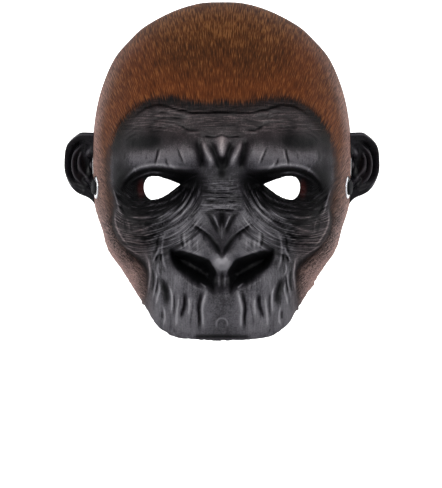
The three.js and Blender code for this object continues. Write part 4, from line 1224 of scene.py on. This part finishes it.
class MASK_OT_eyelets(bpy.types.Operator):
    """Builds both metal eyelets"""

    bl_idname = "mask.eyelets"
    bl_label = "Eyelets"

    def execute(self, context):
        scene = context.scene
        material = metal_paint(scene.mask_colours)
        for side, hand in (("left", -1), ("right", 1)):
            eyelet = make_eyelet(f"metal_eyelet_{side}", hand, scene.mask_sizes)
            dress(eyelet, material, f"eyelet_{side}")
        return {"FINISHED"}


class MASK_OT_strap(bpy.types.Operator):
    """Builds the elastic strap with its knots"""

    bl_idname = "mask.strap"
    bl_label = "Strap"

    def execute(self, context):
        scene = context.scene
        dress(make_strap(scene.mask_sizes), elastic_paint(scene.mask_colours), "head_strap")
        return {"FINISHED"}


def soft_light(name, place, target, size, power):
    """A square soft light that looks at the target."""
    data = bpy.data.lights.new(name, "AREA")
    data.shape, data.size, data.energy = "SQUARE", size, power
    light = bpy.data.objects.new(name, data)
    light.location = place
    light.rotation_mode = "QUATERNION"
    light.rotation_quaternion = (Vector(target) - Vector(place)).to_track_quat("-Z", "Y")
    bpy.context.scene.collection.objects.link(light)


class MASK_OT_stage(bpy.types.Operator):
    """Sets the pale floor and backdrop, the soft lights and the camera"""

    bl_idname = "mask.stage"
    bl_label = "Stage"

    def execute(self, context):
        scene = context.scene
        studio = scene.mask_studio
        low = studio.floor_height / MM
        # A round floor that turns up into a wall on a quarter circle.
        flat, bend = np.linspace(300, COVE_RADIUS - COVE_BEND, 20), np.linspace(0, np.pi / 2, 16)[1:]
        radius = np.r_[0, flat, COVE_RADIUS - COVE_BEND * (1 - np.sin(bend)), COVE_RADIUS]
        height = np.r_[low, low + 0 * flat, low + COVE_BEND * (1 - np.cos(bend)), COVE_HIGH]
        sweep = lathe("studio_sweep", list(zip(radius, height)), 72, (0, 0, 0), (0, 0, 1), 1, closed=False)
        x, y, _ = places(sweep)
        give(sweep, "lit", np.maximum(ease(y, 300, 1500), 0.06 * ease(np.hypot(x, y), 1500, 4000)))
        give(sweep, "dim", ease(-y, 300, 2600))
        paint = Paint("pale_floor")
        lit = paint.stored("lit")
        plain = paint.mix(paint.stored("dim"), linear(215, 215, 218), linear(120, 120, 122))
        white = paint.mix(lit, plain, studio.floor)
        glow = paint.tint((1.0, 1.0, 1.0), lit)
        paint.finish(Base_Color=white, Roughness=0.9, Emission_Color=glow, Emission_Strength=1.0)
        sweep.data.materials.append(paint.material)

        for name, place, target, size, setting, share in LIGHTS:
            soft_light(name, place, target, size, share * getattr(studio, setting))
        world = bpy.data.worlds.new("studio")
        world.use_nodes = True
        background = next(n for n in world.node_tree.nodes if n.type == "BACKGROUND")
        background.inputs["Color"].default_value = (1, 1, 1, 1)
        background.inputs["Strength"].default_value = WORLD_GLOW
        scene.world = world
        scene.view_settings.view_transform = "Standard"

        camera = bpy.data.objects.new("camera", bpy.data.cameras.new("camera"))
        camera.data.sensor_width = SENSOR_WIDTH
        camera.data.lens = CAMERA_LENS
        camera.data.clip_end = 50
        camera.location = CAMERA_PLACE
        camera.rotation_euler = (math.pi / 2, 0, 0)
        scene.collection.objects.link(camera)
        scene.camera = camera
        return {"FINISHED"}


OPERATORS = (MASK_OT_shell, MASK_OT_ears, MASK_OT_eyelets, MASK_OT_strap, MASK_OT_stage)
GROUPS = {"mask_sizes": MaskSizes, "mask_colours": MaskColours, "mask_studio": StudioSettings}


class MASK_PT_panel(bpy.types.Panel):
    """Lists the mask's pieces and their settings"""

    bl_idname = "MASK_PT_panel"
    bl_label = "Gorilla mask"
    bl_space_type = "VIEW_3D"
    bl_region_type = "UI"
    bl_category = "Mask"

    def draw(self, context):
        for operator in OPERATORS:
            self.layout.operator(operator.bl_idname)
        for name in GROUPS:
            group = getattr(context.scene, name)
            for key in group.bl_rna.properties.keys():
                if key not in ("rna_type", "name"):
                    self.layout.prop(group, key)


CLASSES = (*GROUPS.values(), *OPERATORS, MASK_PT_panel)


def register():
    for each in CLASSES:
        bpy.utils.register_class(each)
    for name, group in GROUPS.items():
        setattr(bpy.types.Scene, name, PointerProperty(type=group))


def unregister():
    for name in GROUPS:
        delattr(bpy.types.Scene, name)
    for each in reversed(CLASSES):
        bpy.utils.unregister_class(each)


def main():
    register()
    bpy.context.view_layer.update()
    bpy.ops.mask.shell()
    bpy.ops.mask.ears()
    bpy.ops.mask.eyelets()
    bpy.ops.mask.strap()
    bpy.ops.mask.stage()


if __name__ == "__main__":
    main()
